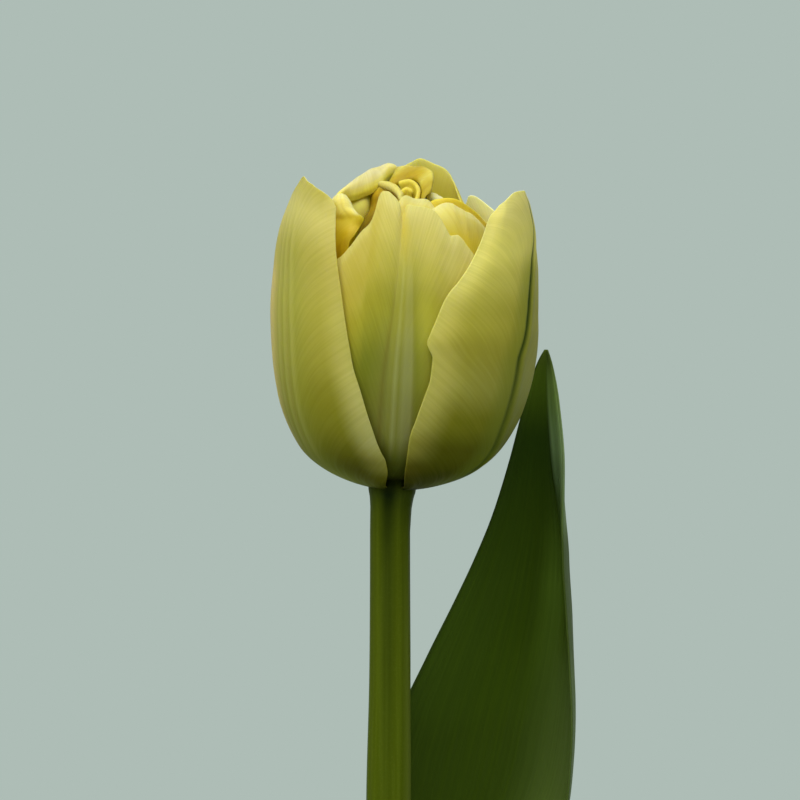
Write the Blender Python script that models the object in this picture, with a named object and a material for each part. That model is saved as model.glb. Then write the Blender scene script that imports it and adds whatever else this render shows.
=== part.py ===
"""A double tulip in a glass bud vase.

One cut stem with one leaf stands in a plain bottle vase of water. The bloom is a
closed double tulip: three outer tepals, three inner tepals, seven petals inside
them, three crumpled core petals, and the pistil with its stamens.

Every length is in millimetres until a mesh is made, and every angle is in degrees.
Z = 0 is the surface that the vase stands on, and the vase's axis is X = Y = 0.
A direction round an axis is 0 towards the front (-Y) and 90 towards +X.
"""

import math

import bmesh
import bpy
import numpy as np
from mathutils import Matrix, Vector

MM = 0.001
GAP = 0.3
SHARP_ANGLE = 50.0
SLOPE_STEP = 0.004

# The vase
VASE_WALL = 2.4
VASE_FLOOR = 8.0
VASE_SIDES = 28
VASE_OUTSIDE = [
    (0.0, 29.0), (1.2, 31.6), (5.0, 33.8), (16.0, 35.4), (38.0, 36.0), (58.0, 34.8),
    (76.0, 30.0), (92.0, 22.0), (106.0, 15.4), (120.0, 12.4), (134.0, 12.0), (143.0, 13.0), (150.0, 15.2),
]  # height, radius
FLOOR_CORNER = 9.0
FLOOR_HEIGHTS = [8.0, 8.7, 10.8, 14.0]
WALL_HEIGHTS = [22.0, 38.0, 58.0, 76.0, 92.0, 106.0, 120.0, 134.0, 143.0, 150.0]
WATER_LEVEL = 88.0

# The stem, which leans on the vase's neck and then stands upright
STEM_SIDES = 14
STEM_CUT_SLANT = 0.55
STEM_ROUTE = [(0.0, -9.4), (40.0, -5.2), (90.0, 0.6), (140.0, 4.75), (190.0, 6.6), (230.0, 7.0), (300.0, 7.0)]
STEM_RADII = [(0.0, 4.5), (60.0, 4.6), (150.0, 4.6), (226.0, 4.45), (250.0, 4.1), (279.0, 4.06), (288.0, 4.5)]
WET_HEIGHTS = [25.0, 45.0, 65.0, 90.0]
DRY_HEIGHTS = [115.0, 140.0, 165.0, 195.0, 226.0, 250.0, 268.0, 279.0]

# The bloom stands on the stem and tips a little to the right.
BLOOM_BASE = (7.4, 0.0, 288.0)
BLOOM_TILT = 3.5
RECEPTACLE = [
    (-4.0, 4.15), (-1.5, 4.6), (0.4, 4.6), (2.4, 4.2), (4.4, 3.7), (6.0, 3.2), (7.6, 2.6), (8.6, 1.9),
]  # height above the bloom's base, radius

PETAL_THICKNESS = 0.8
# A tepal swells to its full radius over this height, and an inner petal leans with
# its midline and ruffles between these shares of its length.
SWELL_HEIGHT = 10.0
LEANING = (0.25, 0.6)
RUFFLING = (0.55, 1.0)
TEPAL_GREEN = (0.48, 0.46, 0.12)
INNER_YELLOW = (0.72, 0.62, 0.10)

# Midlines of the petals, from root to tip: height above the bloom's base, radius
OUTER_CUP = [
    (0.4, 4.9), (1.2, 8.5), (2.6, 12.5), (4.8, 16.2), (7.6, 19.4), (12.0, 22.4), (17.5, 24.7), (26.0, 26.4),
    (35.0, 26.9), (44.0, 26.5), (51.0, 25.5), (57.0, 23.9), (62.0, 22.2),
]
INNER_CUP = [
    (2.4, 4.5), (3.4, 8.0), (5.2, 12.0), (8.0, 15.6), (12.0, 18.6), (17.0, 20.9), (24.0, 22.9), (33.0, 23.9),
    (42.0, 23.7), (50.0, 22.6), (56.0, 21.0), (61.0, 19.2),
]
THIRD_ROOT = [(4.5, 4.1), (6.0, 7.5), (9.0, 11.4), (13.0, 14.6), (19.0, 17.4), (27.0, 19.4), (36.0, 20.0)]
FOURTH_ROOT = [(6.1, 3.7), (7.8, 6.6), (11.0, 9.8), (16.0, 12.8), (23.0, 15.3), (31.0, 16.9), (38.0, 17.3)]
CORE_ROOT = [(7.7, 3.1), (9.6, 5.4), (13.5, 7.6), (20.0, 9.8), (28.0, 11.4), (37.0, 11.8)]

# Each petal: where it faces, its midline, how far it reaches round on its left and
# right at each height, and how much of its midline it has at each place across. An
# inner petal is bent round a curve of its own, and its upper margin is ruffled by
# a depth, over a number of waves, from a phase.
PETALS = {
    "outer_tepal_left": dict(
        facing=-62.0,
        midline=OUTER_CUP,
        swell=0.975,
        left=[(0.4, 50), (10, 50), (25, 48), (40, 46), (50, 42), (60, 36)],
        right=[(0.4, 50), (2, 55), (4.8, 57.5), (7.4, 57), (11.6, 54), (19.5, 47), (29.3, 41), (38.9, 35.5),
               (48.5, 30), (57, 23), (62, 19)],
        top=[(-1, 0.86), (-0.75, 0.945), (-0.42, 0.99), (0.1, 0.982), (0.4, 0.972), (0.75, 0.957), (1, 0.925)],
        columns=14,
        rows=13,
    ),
    "outer_tepal_right": dict(
        facing=66.0,
        midline=OUTER_CUP,
        swell=0.995,
        left=[(0.4, 45), (2, 54), (5.5, 58.5), (8.8, 59), (12, 58.5), (16.2, 56.5), (20.3, 54), (24.4, 52.5),
              (28.8, 52.5), (31.1, 55), (32.3, 54), (35.3, 50), (40.3, 44), (43.3, 40.5), (47.8, 35),
              (50.3, 30.5), (53, 26), (57.5, 19.5), (62, 12)],
        right=[(0.4, 50), (10, 54), (25, 54), (40, 52), (50, 46), (60, 36)],
        top=[(-1, 0.93), (-0.85, 0.963), (-0.1, 0.99), (0.25, 0.994), (0.6, 0.982), (0.8, 0.945), (1, 0.87)],
        columns=14,
        rows=16,
    ),
    "outer_tepal_back": dict(
        facing=183.0,
        midline=OUTER_CUP,
        swell=1.0,
        left=[(0.4, 48), (10, 49), (25, 49), (40, 46), (50, 42), (58, 34)],
        right=[(0.4, 48), (10, 49), (25, 49), (40, 46), (50, 42), (58, 34)],
        top=[(-1.0, 0.85), (-0.5, 0.93), (0.0, 0.98), (0.5, 0.94), (1.0, 0.86)],
        columns=12,
        rows=12,
    ),
    "inner_tepal_front": dict(
        facing=-1.0,
        midline=INNER_CUP,
        swell=1.0,
        left=[(2.4, 50), (10, 54), (30, 54), (61, 54)],
        right=[(2.4, 50), (10, 54), (30, 54), (61, 54)],
        top=[(-1.0, 0.70), (-0.64, 0.795), (-0.5, 0.83), (-0.41, 0.873), (-0.345, 0.915), (-0.3, 0.975),
             (-0.23, 0.99), (-0.13, 0.984), (-0.055, 0.955), (0.02, 0.977), (0.21, 0.974), (0.28, 0.945),
             (0.36, 0.901), (0.41, 0.88), (0.48, 0.884), (0.6, 0.852), (0.7, 0.818), (1.0, 0.7)],
        columns=[-1, -0.82, -0.64, -0.5, -0.4, -0.345, -0.3, -0.22, -0.13, -0.055, 0.02, 0.11, 0.2, 0.28, 0.36,
                 0.42, 0.5, 0.6, 0.72, 0.86, 1],
        rows=11,
    ),
    "inner_tepal_right": dict(
        facing=121.0,
        midline=INNER_CUP,
        swell=1.0,
        left=[(2.4, 50), (10, 55), (30, 56), (61, 50)],
        right=[(2.4, 50), (10, 55), (30, 56), (61, 50)],
        top=[(-1.0, 0.78), (-0.4, 0.85), (0.1, 0.925), (0.28, 0.965), (0.42, 0.95), (0.6, 0.87), (1.0, 0.78)],
        columns=12,
        rows=11,
    ),
    "inner_tepal_left": dict(
        facing=-122.0,
        midline=INNER_CUP,
        swell=1.0,
        left=[(2.4, 50), (10, 55), (30, 56), (61, 50)],
        right=[(2.4, 50), (10, 55), (30, 56), (61, 50)],
        top=[(-1.0, 0.78), (-0.4, 0.88), (0.1, 0.93), (0.5, 0.88), (1.0, 0.78)],
        columns=12,
        rows=11,
    ),
    "third_petal_left": dict(
        facing=-54.0,
        midline=THIRD_ROOT + [(44, 19.7), (51, 18.2), (56, 15.4), (58.0, 12.4)],
        bend=[(0, 4.0), (0.5, 19), (0.8, 16), (1, 12)],
        left=[(4.5, 44), (15, 44), (65, 44)],
        right=[(4.5, 44), (15, 44), (65, 44)],
        top=[(-1.0, 0.9), (-0.5, 0.98), (0.0, 1.0), (0.5, 0.93), (1.0, 0.8)],
        ruffle=(0.8, 2.0, 0.1),
        columns=10,
        rows=11,
    ),
    "third_petal_right": dict(
        facing=38.0,
        midline=THIRD_ROOT + [(44, 19.5), (51, 17.6), (56.6, 14.9), (58.4, 12.0)],
        bend=[(0, 4.0), (0.5, 19), (0.8, 16), (1, 12)],
        left=[(4.5, 42), (15, 42), (65, 42)],
        right=[(4.5, 42), (15, 42), (65, 42)],
        top=[(-1.0, 0.88), (-0.5, 0.97), (0.0, 1.0), (0.5, 0.95), (1.0, 0.84)],
        ruffle=(0.6, 1.5, 0.3),
        columns=10,
        rows=11,
    ),
    "third_petal_back": dict(
        facing=166.0,
        midline=THIRD_ROOT + [(45, 19.8), (53, 18.6), (60, 16.0), (64.6, 12.6)],
        bend=[(0, 4.0), (0.5, 19), (0.8, 16), (1, 12)],
        left=[(4.5, 48), (15, 50), (65, 46)],
        right=[(4.5, 48), (15, 50), (65, 46)],
        top=[(-1.0, 0.86), (-0.7, 0.95), (-0.35, 0.985), (0.0, 1.0), (0.2, 0.985), (0.6, 0.93), (1.0, 0.86)],
        ruffle=(0.7, 1.5, 0.55),
        columns=12,
        rows=11,
    ),
    "fourth_petal_left": dict(
        facing=-140.0,
        midline=FOURTH_ROOT + [(46, 16.9), (54, 15.2), (60, 12.2), (63.2, 8.4), (63.8, 5.6), (62.2, 3.2)],
        bend=[(0, 3.5), (0.5, 15), (0.75, 14), (1, 14)],
        left=[(6.1, 38), (15, 40), (50, 44), (65, 50)],
        right=[(6.1, 38), (15, 40), (65, 40)],
        top=[(-1.0, 0.88), (-0.5, 0.98), (0.0, 1.0), (0.5, 0.98), (1.0, 0.9)],
        ruffle=(0.6, 2.0, 0.6),
        columns=10,
        rows=13,
    ),
    "fourth_petal_front": dict(
        facing=-26.0,
        midline=FOURTH_ROOT + [(45, 16.4), (51, 14.0), (54.6, 11.4)],
        bend=[(0, 3.5), (0.5, 15), (0.8, 12), (1, 9)],
        left=[(6.1, 36), (15, 38), (65, 36)],
        right=[(6.1, 36), (15, 38), (65, 36)],
        top=[(-1.0, 0.86), (-0.55, 0.95), (0.0, 1.0), (0.55, 0.95), (1.0, 0.86)],
        ruffle=(0.7, 2.0, 0.8),
        columns=8,
        rows=9,
    ),
    "fourth_petal_right": dict(
        facing=66.0,
        midline=FOURTH_ROOT + [(45, 16.6), (52, 14.8), (57.2, 12.2)],
        bend=[(0, 3.5), (0.5, 15), (0.8, 12), (1, 9)],
        left=[(6.1, 36), (15, 38), (65, 34)],
        right=[(6.1, 36), (15, 38), (65, 34)],
        top=[(-1.0, 0.86), (-0.55, 0.95), (0.0, 1.0), (0.55, 0.95), (1.0, 0.86)],
        ruffle=(0.5, 1.5, 0.0),
        columns=8,
        rows=9,
    ),
    "fourth_petal_back": dict(
        facing=144.0,
        midline=FOURTH_ROOT + [(46, 16.6), (53, 14.4), (58.4, 11.4)],
        bend=[(0, 3.5), (0.5, 15), (0.8, 12), (1, 9)],
        left=[(6.1, 34), (15, 36), (65, 34)],
        right=[(6.1, 34), (15, 36), (65, 34)],
        top=[(-1.0, 0.86), (-0.55, 0.95), (0.0, 1.0), (0.55, 0.95), (1.0, 0.86)],
        ruffle=(0.6, 2.0, 0.35),
        columns=8,
        rows=9,
    ),
    "core_petal_back": dict(
        facing=150.0,
        midline=CORE_ROOT + [(46, 10.8), (54, 8.6), (60, 6.6), (63.0, 4.8)],
        bend=[(0, 2.9), (0.5, 10), (0.8, 7), (1, 4.4)],
        left=[(7.7, 48), (15, 50), (50, 54), (62, 70)],
        right=[(7.7, 48), (15, 50), (50, 50), (62, 36)],
        top=[(-1.0, 0.91), (-0.5, 0.975), (0.0, 1.0), (0.5, 0.99), (1.0, 0.95)],
        ruffle=(0.5, 2.5, 0.7),
        columns=12,
        rows=9,
    ),
    "core_petal_front": dict(
        facing=24.0,
        midline=CORE_ROOT + [(46, 10.8), (53, 8.0), (58.0, 5.0), (60.0, 2.9)],
        bend=[(0, 2.9), (0.5, 10), (0.8, 6.5), (1, 3.2)],
        left=[(7.7, 48), (15, 50), (50, 50), (60, 60)],
        right=[(7.7, 48), (15, 50), (50, 50), (60, 60)],
        top=[(-1.0, 0.92), (-0.55, 0.97), (0.0, 1.0), (0.55, 0.97), (1.0, 0.9)],
        ruffle=(0.5, 2.5, 0.2),
        columns=12,
        rows=9,
    ),
    "core_petal_left": dict(
        facing=-92.0,
        midline=CORE_ROOT + [(46, 10.8), (53, 8.6), (58.0, 6.6), (60.8, 5.0)],
        bend=[(0, 2.9), (0.5, 10), (0.8, 7), (1, 4.4)],
        left=[(7.7, 48), (15, 50), (50, 50), (60, 50)],
        right=[(7.7, 48), (15, 50), (50, 50), (60, 50)],
        top=[(-1.0, 0.9), (-0.55, 0.96), (0.0, 1.0), (0.55, 0.96), (1.0, 0.9)],
        ruffle=(0.6, 2.5, 0.45),
        columns=10,
        rows=9,
    ),
}

# The leaf, from where it clasps the stem to its tip: height, then the left margin,
# the midrib and the right margin as x and y, and how round its fold is.
LEAF_STATIONS = [
    (157.5, (0.6, 3.8), (11.0, 6.2), (11.8, -5.2), 3.0),
    (166.0, (1.2, 4.2), (11.8, 6.8), (13.2, -5.2), 3.0),
    (182.0, (1.8, 6.6), (16.6, 12.6), (22.4, -3.6), 2.6),
    (204.0, (3.0, 7.8), (22.6, 18.4), (35.4, 0.2), 2.2),
    (226.0, (4.8, 8.4), (27.4, 21.0), (42.6, 2.0), 1.8),
    (249.0, (11.6, 9.6), (33.2, 20.4), (43.8, 3.0), 1.2),
    (272.0, (23.4, 11.8), (39.0, 19.0), (42.4, 4.6), 0.6),
    (292.0, (30.4, 12.8), (39.3, 16.6), (42.0, 7.0), 0.3),
    (304.0, (33.8, 12.2), (38.9, 14.6), (41.0, 9.0), 0.25),
    (314.6, (38.0, 10.9), (38.5, 11.2), (38.8, 10.8), 0.25),
]
LEAF_THICKNESS = 0.9
LEAF_COLUMNS = 10
LEAF_ROWS = 24
# The foot of the leaf wraps the stem from its right margin round the back to its left.
CLASP_TOP = 176.0
CLASP_FACING = 130.0
CLASP_REACH = 120.0

# The pistil and its six stamens
OVARY = [(8.9, 1.9), (11.0, 2.5), (16.0, 2.9), (23.0, 2.9), (28.0, 2.3), (29.4, 2.6), (30.6, 3.5), (31.6, 3.2)]
STIGMA_FROM = 28.0
STIGMA_LOBE = 0.22
PISTIL_SIDES = 12
STAMENS = 6
FILAMENT = [(9.8, 1.6), (11.5, 3.4), (15.0, 4.2), (20.0, 4.5)]
FILAMENT_RADIUS = 0.55
FILAMENT_SIDES = 5
ANTHER = [(19.0, 0.5), (20.2, 1.0), (26.8, 1.0), (28.0, 0.4)]
ANTHER_SIDES = 6


def curve_through(points, x):
    """The smooth curve through (x, y) points, with no overshoot between them."""
    px, py = np.array(points, float).T
    x = np.clip(np.asarray(x, float), px[0], px[-1])
    step = np.diff(px)
    slope = np.diff(py) / step
    product = slope[1:] * slope[:-1]
    total = np.where(product > 0, slope[1:] + slope[:-1], 1.0)
    inside = np.where(product > 0, 2 * product / total, 0.0)
    tangent = np.concatenate([slope[:1], inside, slope[-1:]])
    i = np.clip(np.searchsorted(px, x, side="right") - 1, 0, len(step) - 1)
    t = (x - px[i]) / step[i]
    return (
        py[i] * (1 + 2 * t) * (1 - t) ** 2
        + py[i + 1] * t * t * (3 - 2 * t)
        + step[i] * t * (1 - t) * (tangent[i] * (1 - t) - tangent[i + 1] * t)
    )


def midline_at(midline, share):
    """Height, radius and the unit direction of a midline at a share of its length."""
    points = np.array(midline, float)
    length = np.concatenate([[0], np.cumsum(np.hypot(*np.diff(points, axis=0).T))])
    at = length / length[-1]
    height = np.column_stack([at, points[:, 0]])
    radius = np.column_stack([at, points[:, 1]])
    before, after = np.clip(share - SLOPE_STEP, 0, 1), np.clip(share + SLOPE_STEP, 0, 1)
    rise = curve_through(height, after) - curve_through(height, before)
    spread = curve_through(radius, after) - curve_through(radius, before)
    size = np.hypot(rise, spread)
    return curve_through(height, share), curve_through(radius, share), rise / size, spread / size


def ease(x, low, high):
    t = np.clip((x - low) / (high - low), 0, 1)
    return t * t * (3 - 2 * t)


def petal_points(petal):
    """A grid of points on the petal's middle surface, in the bloom's frame."""
    columns = petal["columns"]
    if isinstance(columns, int):
        columns = np.linspace(-1, 1, columns + 1)
    across = np.array(columns, float)[:, None]
    along = np.linspace(0, 1, petal["rows"] + 1)[None, :]
    share = np.clip(along * curve_through(petal["top"], across), 0, 1)
    height, radius, rise, spread = midline_at(petal["midline"], share)
    reach = np.where(across < 0, curve_through(petal["left"], height), curve_through(petal["right"], height))
    turn = np.radians(across * reach)
    if "bend" in petal:
        # The petal is bent round its own curve, which leans with its midline.
        bend = curve_through(petal["bend"], share)
        leaning = ease(share, *LEANING)
        inward, upward = 1 + leaning * (rise - 1), leaning * spread
    else:
        radius = radius * (1 + (petal["swell"] - 1) * ease(height, 0.0, SWELL_HEIGHT))
        bend, inward, upward = radius, 1.0, 0.0
    depth = bend * (1 - np.cos(turn))
    if "ruffle" in petal:
        size, waves, phase = petal["ruffle"]
        ripple = size * np.sin(2 * math.pi * (waves * across / 2 + phase))
        depth = depth + ripple * ease(share, *RUFFLING)
    out = radius - depth * inward
    sideways = bend * np.sin(turn)
    facing = math.radians(petal["facing"])
    x = out * math.sin(facing) + sideways * math.cos(facing)
    y = -out * math.cos(facing) + sideways * math.sin(facing)
    return np.stack([x, y, height + depth * upward], axis=-1)


def build_bloom_frame():
    """The empty that the petals and the pistil stand on."""
    bloom = bpy.data.objects.new("bloom", None)
    bloom.location = Vector(BLOOM_BASE) * MM
    bloom.rotation_euler.y = math.radians(BLOOM_TILT)
    bpy.context.scene.collection.objects.link(bloom)
    return bloom


def new_object(name, bm, material, collection=None):
    """A mesh object from a bmesh in millimetres, shaded smooth."""
    bmesh.ops.recalc_face_normals(bm, faces=bm.faces)
    bmesh.ops.scale(bm, vec=(MM, MM, MM), verts=bm.verts)
    mesh = bpy.data.meshes.new(name)
    bm.to_mesh(mesh)
    bm.free()
    mesh.shade_smooth()
    mesh.set_sharp_from_angle(angle=math.radians(SHARP_ANGLE))
    mesh.materials.append(material)
    obj = bpy.data.objects.new(name, mesh)
    (collection or bpy.context.scene.collection).objects.link(obj)
    return obj


def sheet_mesh(grid):
    """A sheet of triangles over a grid of points, which splits each cell one way."""
    bm = bmesh.new()
    rows = [[bm.verts.new(point) for point in line] for line in grid]
    for first, second in zip(rows, rows[1:]):
        for a, b, c, d in zip(first, second, second[1:], first[1:]):
            if (a.co - c.co).length < (b.co - d.co).length:
                corners = ((a, b, c), (a, c, d))
            else:
                corners = ((a, b, d), (b, c, d))
            for corner in corners:
                bm.faces.new(corner)
    return bm


def thicken(obj, thickness):
    solidify = obj.modifiers.new("Thickness", "SOLIDIFY")
    solidify.thickness = thickness * MM
    solidify.offset = 0.0
    return obj


def rings_mesh(rings):
    """A closed skin over rings of points, with a fan over each end."""
    bm = bmesh.new()
    loops = [[bm.verts.new(point) for point in ring] for ring in rings]
    for lower, upper in zip(loops, loops[1:]):
        for i in range(len(lower)):
            j = (i + 1) % len(lower)
            bm.faces.new((lower[i], lower[j], upper[j], upper[i]))
    for loop in (loops[0], loops[-1]):
        centre = bm.verts.new(sum((v.co for v in loop), Vector()) / len(loop))
        for i in range(len(loop)):
            bm.faces.new((loop[i], loop[(i + 1) % len(loop)], centre))
    return bm


def ring(centre, radius, sides, lobes=0.0):
    """Points round a centre. Lobes widens three places on it."""
    points = []
    for i in range(sides):
        turn = 2 * math.pi * i / sides
        size = radius * (1 + lobes * math.cos(3 * turn))
        points.append(centre + Vector((size * math.cos(turn), size * math.sin(turn), 0)))
    return points


def turned(name, outline, material):
    """A solid turned round Z from a closed outline of (radius, height) points."""
    bm = bmesh.new()
    verts = [bm.verts.new((radius, 0, height)) for radius, height in outline]
    for a, b in zip(verts, verts[1:]):
        bm.edges.new((a, b))
    bmesh.ops.spin(
        bm,
        geom=bm.verts[:] + bm.edges[:],
        axis=(0, 0, 1),
        cent=(0, 0, 0),
        angle=2 * math.pi,
        steps=VASE_SIDES,
        use_merge=True,
    )
    bmesh.ops.remove_doubles(bm, verts=bm.verts, dist=0.001)
    return new_object(name, bm, material)


def vase_outside(height):
    return float(curve_through(VASE_OUTSIDE, height))


def vase_inside(height):
    """The radius of the vase's inner wall, which rounds into its floor."""
    wall = vase_outside(height) - VASE_WALL
    rise = (height - VASE_FLOOR) / FLOOR_CORNER
    if rise >= 1:
        return wall
    return wall - FLOOR_CORNER * (1 - math.sqrt(1 - (1 - rise) ** 2))


def build_vase(material):
    outer = [(radius, height) for height, radius in VASE_OUTSIDE]
    inner = [(vase_inside(height), height) for height in FLOOR_HEIGHTS + WALL_HEIGHTS]
    half = VASE_WALL / 2
    lip_radius, lip_height = outer[-1]
    turns = [math.radians(angle) for angle in (60, 120)]
    lip = [(lip_radius - half * (1 - math.cos(t)), lip_height + half * math.sin(t)) for t in turns]
    outline = [(0.0, 0.0)] + outer + lip + inner[::-1] + [(0.0, VASE_FLOOR)]
    return turned("vase", outline, material)


def stem_centre(height):
    return Vector((float(curve_through(STEM_ROUTE, height)), 0.0, height))


def stem_rings(extra=0.0):
    """The stem's rings from its slanted cut up to the bloom."""
    cut = VASE_FLOOR + GAP
    rings = []
    for height in [cut] + WET_HEIGHTS + DRY_HEIGHTS:
        radius = float(curve_through(STEM_RADII, height)) + extra
        points = ring(stem_centre(height), radius, STEM_SIDES)
        if height == cut:
            middle = stem_centre(height).x
            for point in points:
                point.z += STEM_CUT_SLANT * (point.x - middle + radius)
        rings.append(points)
    return rings


def build_stem(material):
    rings = stem_rings()
    frame = Matrix.Translation(BLOOM_BASE) @ Matrix.Rotation(math.radians(BLOOM_TILT), 4, "Y")
    for height, radius in RECEPTACLE:
        rings.append([frame @ point for point in ring(Vector((0, 0, height)), radius, STEM_SIDES)])
    return new_object("stem", rings_mesh(rings), material)


def build_water(material):
    """The vase's filling, with a plain hole that the stem stands in."""
    heights = [height for height in WALL_HEIGHTS if height < WATER_LEVEL] + [WATER_LEVEL]
    corner = [(vase_inside(height) - GAP, height + GAP) for height in FLOOR_HEIGHTS]
    side = [(vase_inside(height) - GAP, height) for height in heights]
    water = turned("water", [(0.0, VASE_FLOOR + GAP)] + corner + side + [(0.0, WATER_LEVEL)], material)
    rings = stem_rings(extra=GAP)
    below = [point - Vector((0, 0, VASE_FLOOR)) for point in rings[0]]
    above = len(WET_HEIGHTS) + 1
    hole = new_object("stem_hole", rings_mesh([below] + rings[:above]), material)
    hole.hide_render = True
    hole.display_type = "WIRE"
    cut = water.modifiers.new("Stem hole", "BOOLEAN")
    cut.operation = "DIFFERENCE"
    cut.object = hole
    return water


def build_petal(name, petal, bloom, material):
    obj = new_object(name, sheet_mesh(petal_points(petal)), material)
    obj.parent = bloom
    return thicken(obj, PETAL_THICKNESS)


def leaf_points():
    """A grid of points on the leaf's middle surface."""
    heights = [station[0] for station in LEAF_STATIONS]
    share = np.linspace(0, 1, LEAF_ROWS + 1)
    height = heights[0] + (heights[-1] - heights[0]) * share

    def line(column, axis):
        return curve_through([(s[0], s[column][axis]) for s in LEAF_STATIONS], height)[None, :]

    across = np.linspace(-1, 1, LEAF_COLUMNS + 1)[:, None]
    rounding = curve_through([(s[0], s[4]) for s in LEAF_STATIONS], height)[None, :]
    fold = (np.sqrt(across**2 + rounding**2) - rounding) / (np.sqrt(1 + rounding**2) - rounding)
    x, y = (
        line(2, axis)
        + (line(3, axis) - line(1, axis)) / 2 * across
        + ((line(3, axis) + line(1, axis)) / 2 - line(2, axis)) * fold
        for axis in (0, 1)
    )
    turn = np.radians(CLASP_FACING - CLASP_REACH * across)
    clasp = 1 - ease(height, heights[0], CLASP_TOP)[None, :]
    reach = curve_through(STEM_RADII, height) + GAP + LEAF_THICKNESS / 2
    x += (curve_through(STEM_ROUTE, height) + reach * np.sin(turn) - x) * clasp
    y += (-reach * np.cos(turn) - y) * clasp
    return np.stack([x, y, np.broadcast_to(height, x.shape)], axis=-1)


def build_leaf(material):
    return thicken(new_object("leaf", sheet_mesh(leaf_points()), material), LEAF_THICKNESS)


def stamen_rings(turn):
    """The rings of one stamen's filament and of its anther, at a turn round the pistil."""
    out = FILAMENT[-1][1]
    filament = [ring(Vector((r, 0, z)), FILAMENT_RADIUS, FILAMENT_SIDES) for z, r in FILAMENT]
    anther = [ring(Vector((out, 0, z)), radius, ANTHER_SIDES) for z, radius in ANTHER]
    return [[[turn @ point for point in loop] for loop in rings] for rings in (filament, anther)]


def build_pistil(bloom, material):
    """The ovary with its three-lobed stigma, joined to six stamens rooted in its foot."""
    rings = [
        ring(Vector((0, 0, height)), radius, PISTIL_SIDES, STIGMA_LOBE if height > STIGMA_FROM else 0.0)
        for height, radius in OVARY
    ]
    pistil = new_object("pistil", rings_mesh(rings), material)
    pistil.parent = bloom
    stamens = bpy.data.collections.new("stamens")
    for i in range(STAMENS):
        turn = Matrix.Rotation(2 * math.pi * (i + 0.5) / STAMENS, 4, "Z")
        for rings in stamen_rings(turn):
            piece = new_object("stamen", rings_mesh(rings), material, stamens)
            piece.parent = bloom
    union = pistil.modifiers.new("Stamens", "BOOLEAN")
    union.operation = "UNION"
    union.operand_type = "COLLECTION"
    union.collection = stamens
    graph = bpy.context.evaluated_depsgraph_get()
    joined = bpy.data.meshes.new_from_object(pistil.evaluated_get(graph))
    pistil.modifiers.clear()
    pistil.data = joined
    for piece in list(stamens.objects):
        bpy.data.objects.remove(piece)
    bpy.data.collections.remove(stamens)
    return pistil


def finish(name, colour, roughness, alpha=1.0, transmission=0.0):
    material = bpy.data.materials.new(name)
    material.use_nodes = True
    shader = material.node_tree.nodes["Principled BSDF"]
    shader.inputs["Base Color"].default_value = (*colour, 1.0)
    shader.inputs["Roughness"].default_value = roughness
    shader.inputs["Metallic"].default_value = 0.0
    shader.inputs["Alpha"].default_value = alpha
    shader.inputs["Transmission Weight"].default_value = transmission
    return material


def main():
    for obj in list(bpy.data.objects):
        bpy.data.objects.remove(obj)
    build_vase(finish("vase", (0.95, 0.98, 0.97), 0.02, alpha=0.35, transmission=1.0))
    build_water(finish("water", (0.93, 0.97, 0.97), 0.0, alpha=0.35, transmission=1.0))
    build_stem(finish("stem", (0.10, 0.13, 0.015), 0.5))
    build_leaf(finish("leaf", (0.025, 0.05, 0.008), 0.5))
    bloom = build_bloom_frame()
    for name, petal in PETALS.items():
        colour = INNER_YELLOW if "bend" in petal else TEPAL_GREEN
        build_petal(name, petal, bloom, finish(name, colour, 0.5))
    build_pistil(bloom, finish("pistil", (0.45, 0.5, 0.12), 0.5))


main()
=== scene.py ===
import math

import bpy
import numpy as np
from mathutils import Matrix, Vector


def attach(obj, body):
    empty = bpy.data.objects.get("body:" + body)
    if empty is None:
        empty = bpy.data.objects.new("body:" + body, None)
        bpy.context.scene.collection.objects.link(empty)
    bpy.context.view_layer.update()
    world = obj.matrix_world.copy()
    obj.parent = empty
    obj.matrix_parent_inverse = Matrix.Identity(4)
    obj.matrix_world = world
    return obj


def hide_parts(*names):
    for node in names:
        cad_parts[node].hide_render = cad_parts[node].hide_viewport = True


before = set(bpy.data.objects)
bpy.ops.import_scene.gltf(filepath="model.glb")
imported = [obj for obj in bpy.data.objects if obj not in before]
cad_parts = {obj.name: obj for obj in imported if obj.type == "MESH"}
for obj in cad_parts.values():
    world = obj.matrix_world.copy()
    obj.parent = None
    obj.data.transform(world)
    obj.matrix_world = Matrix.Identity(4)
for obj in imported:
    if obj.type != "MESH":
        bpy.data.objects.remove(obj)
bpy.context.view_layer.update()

# Lengths are in mm and angles in degrees until a mesh is made. A direction round an
# axis is 0 at the front (-Y) and 90 at +X, as in the part's own source.
mm = 0.001
bloomBase = np.array((7.4, 0.0, 288.0))
bloomTurn = np.array(Matrix.Rotation(math.radians(3.5), 3, "Y"))


def onBloom(points):  # from the upright bloom's own place to its tilted place on the stem
    return points @ bloomTurn.T + bloomBase


# Curves and waves

def between(points, tangent, i, t, size):  # at t, from 0 to 1, of the way from point i to the next
    return (
        points[i] * (1 + 2 * t) * (1 - t) ** 2 + points[i + 1] * t * t * (3 - 2 * t)
        + size * t * (1 - t) * (tangent[i] * (1 - t) - tangent[i + 1] * t)
    )


def smoothCurve(points, x):  # through (x, y) points with no overshoot
    px, py = np.array(points, float).T
    x = np.clip(np.asarray(x, float), px[0], px[-1])
    step = np.diff(px)
    slope = np.diff(py) / step
    product = slope[1:] * slope[:-1]
    total = np.where(product > 0, slope[1:] + slope[:-1], 1.0)
    inside = np.where(product > 0, 2 * product / total, 0.0)
    tangent = np.concatenate([slope[:1], inside, slope[-1:]])
    i = np.clip(np.searchsorted(px, x, side="right") - 1, 0, len(step) - 1)
    return between(py, tangent, i, (x - px[i]) / step[i], step[i])


def ease(x, low, high):
    t = np.clip((x - low) / (high - low), 0, 1)
    return t * t * (3 - 2 * t)


def hump(x, centre, width):  # a soft bump 1 high
    return np.exp(-(((x - centre) / width) ** 2))


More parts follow.
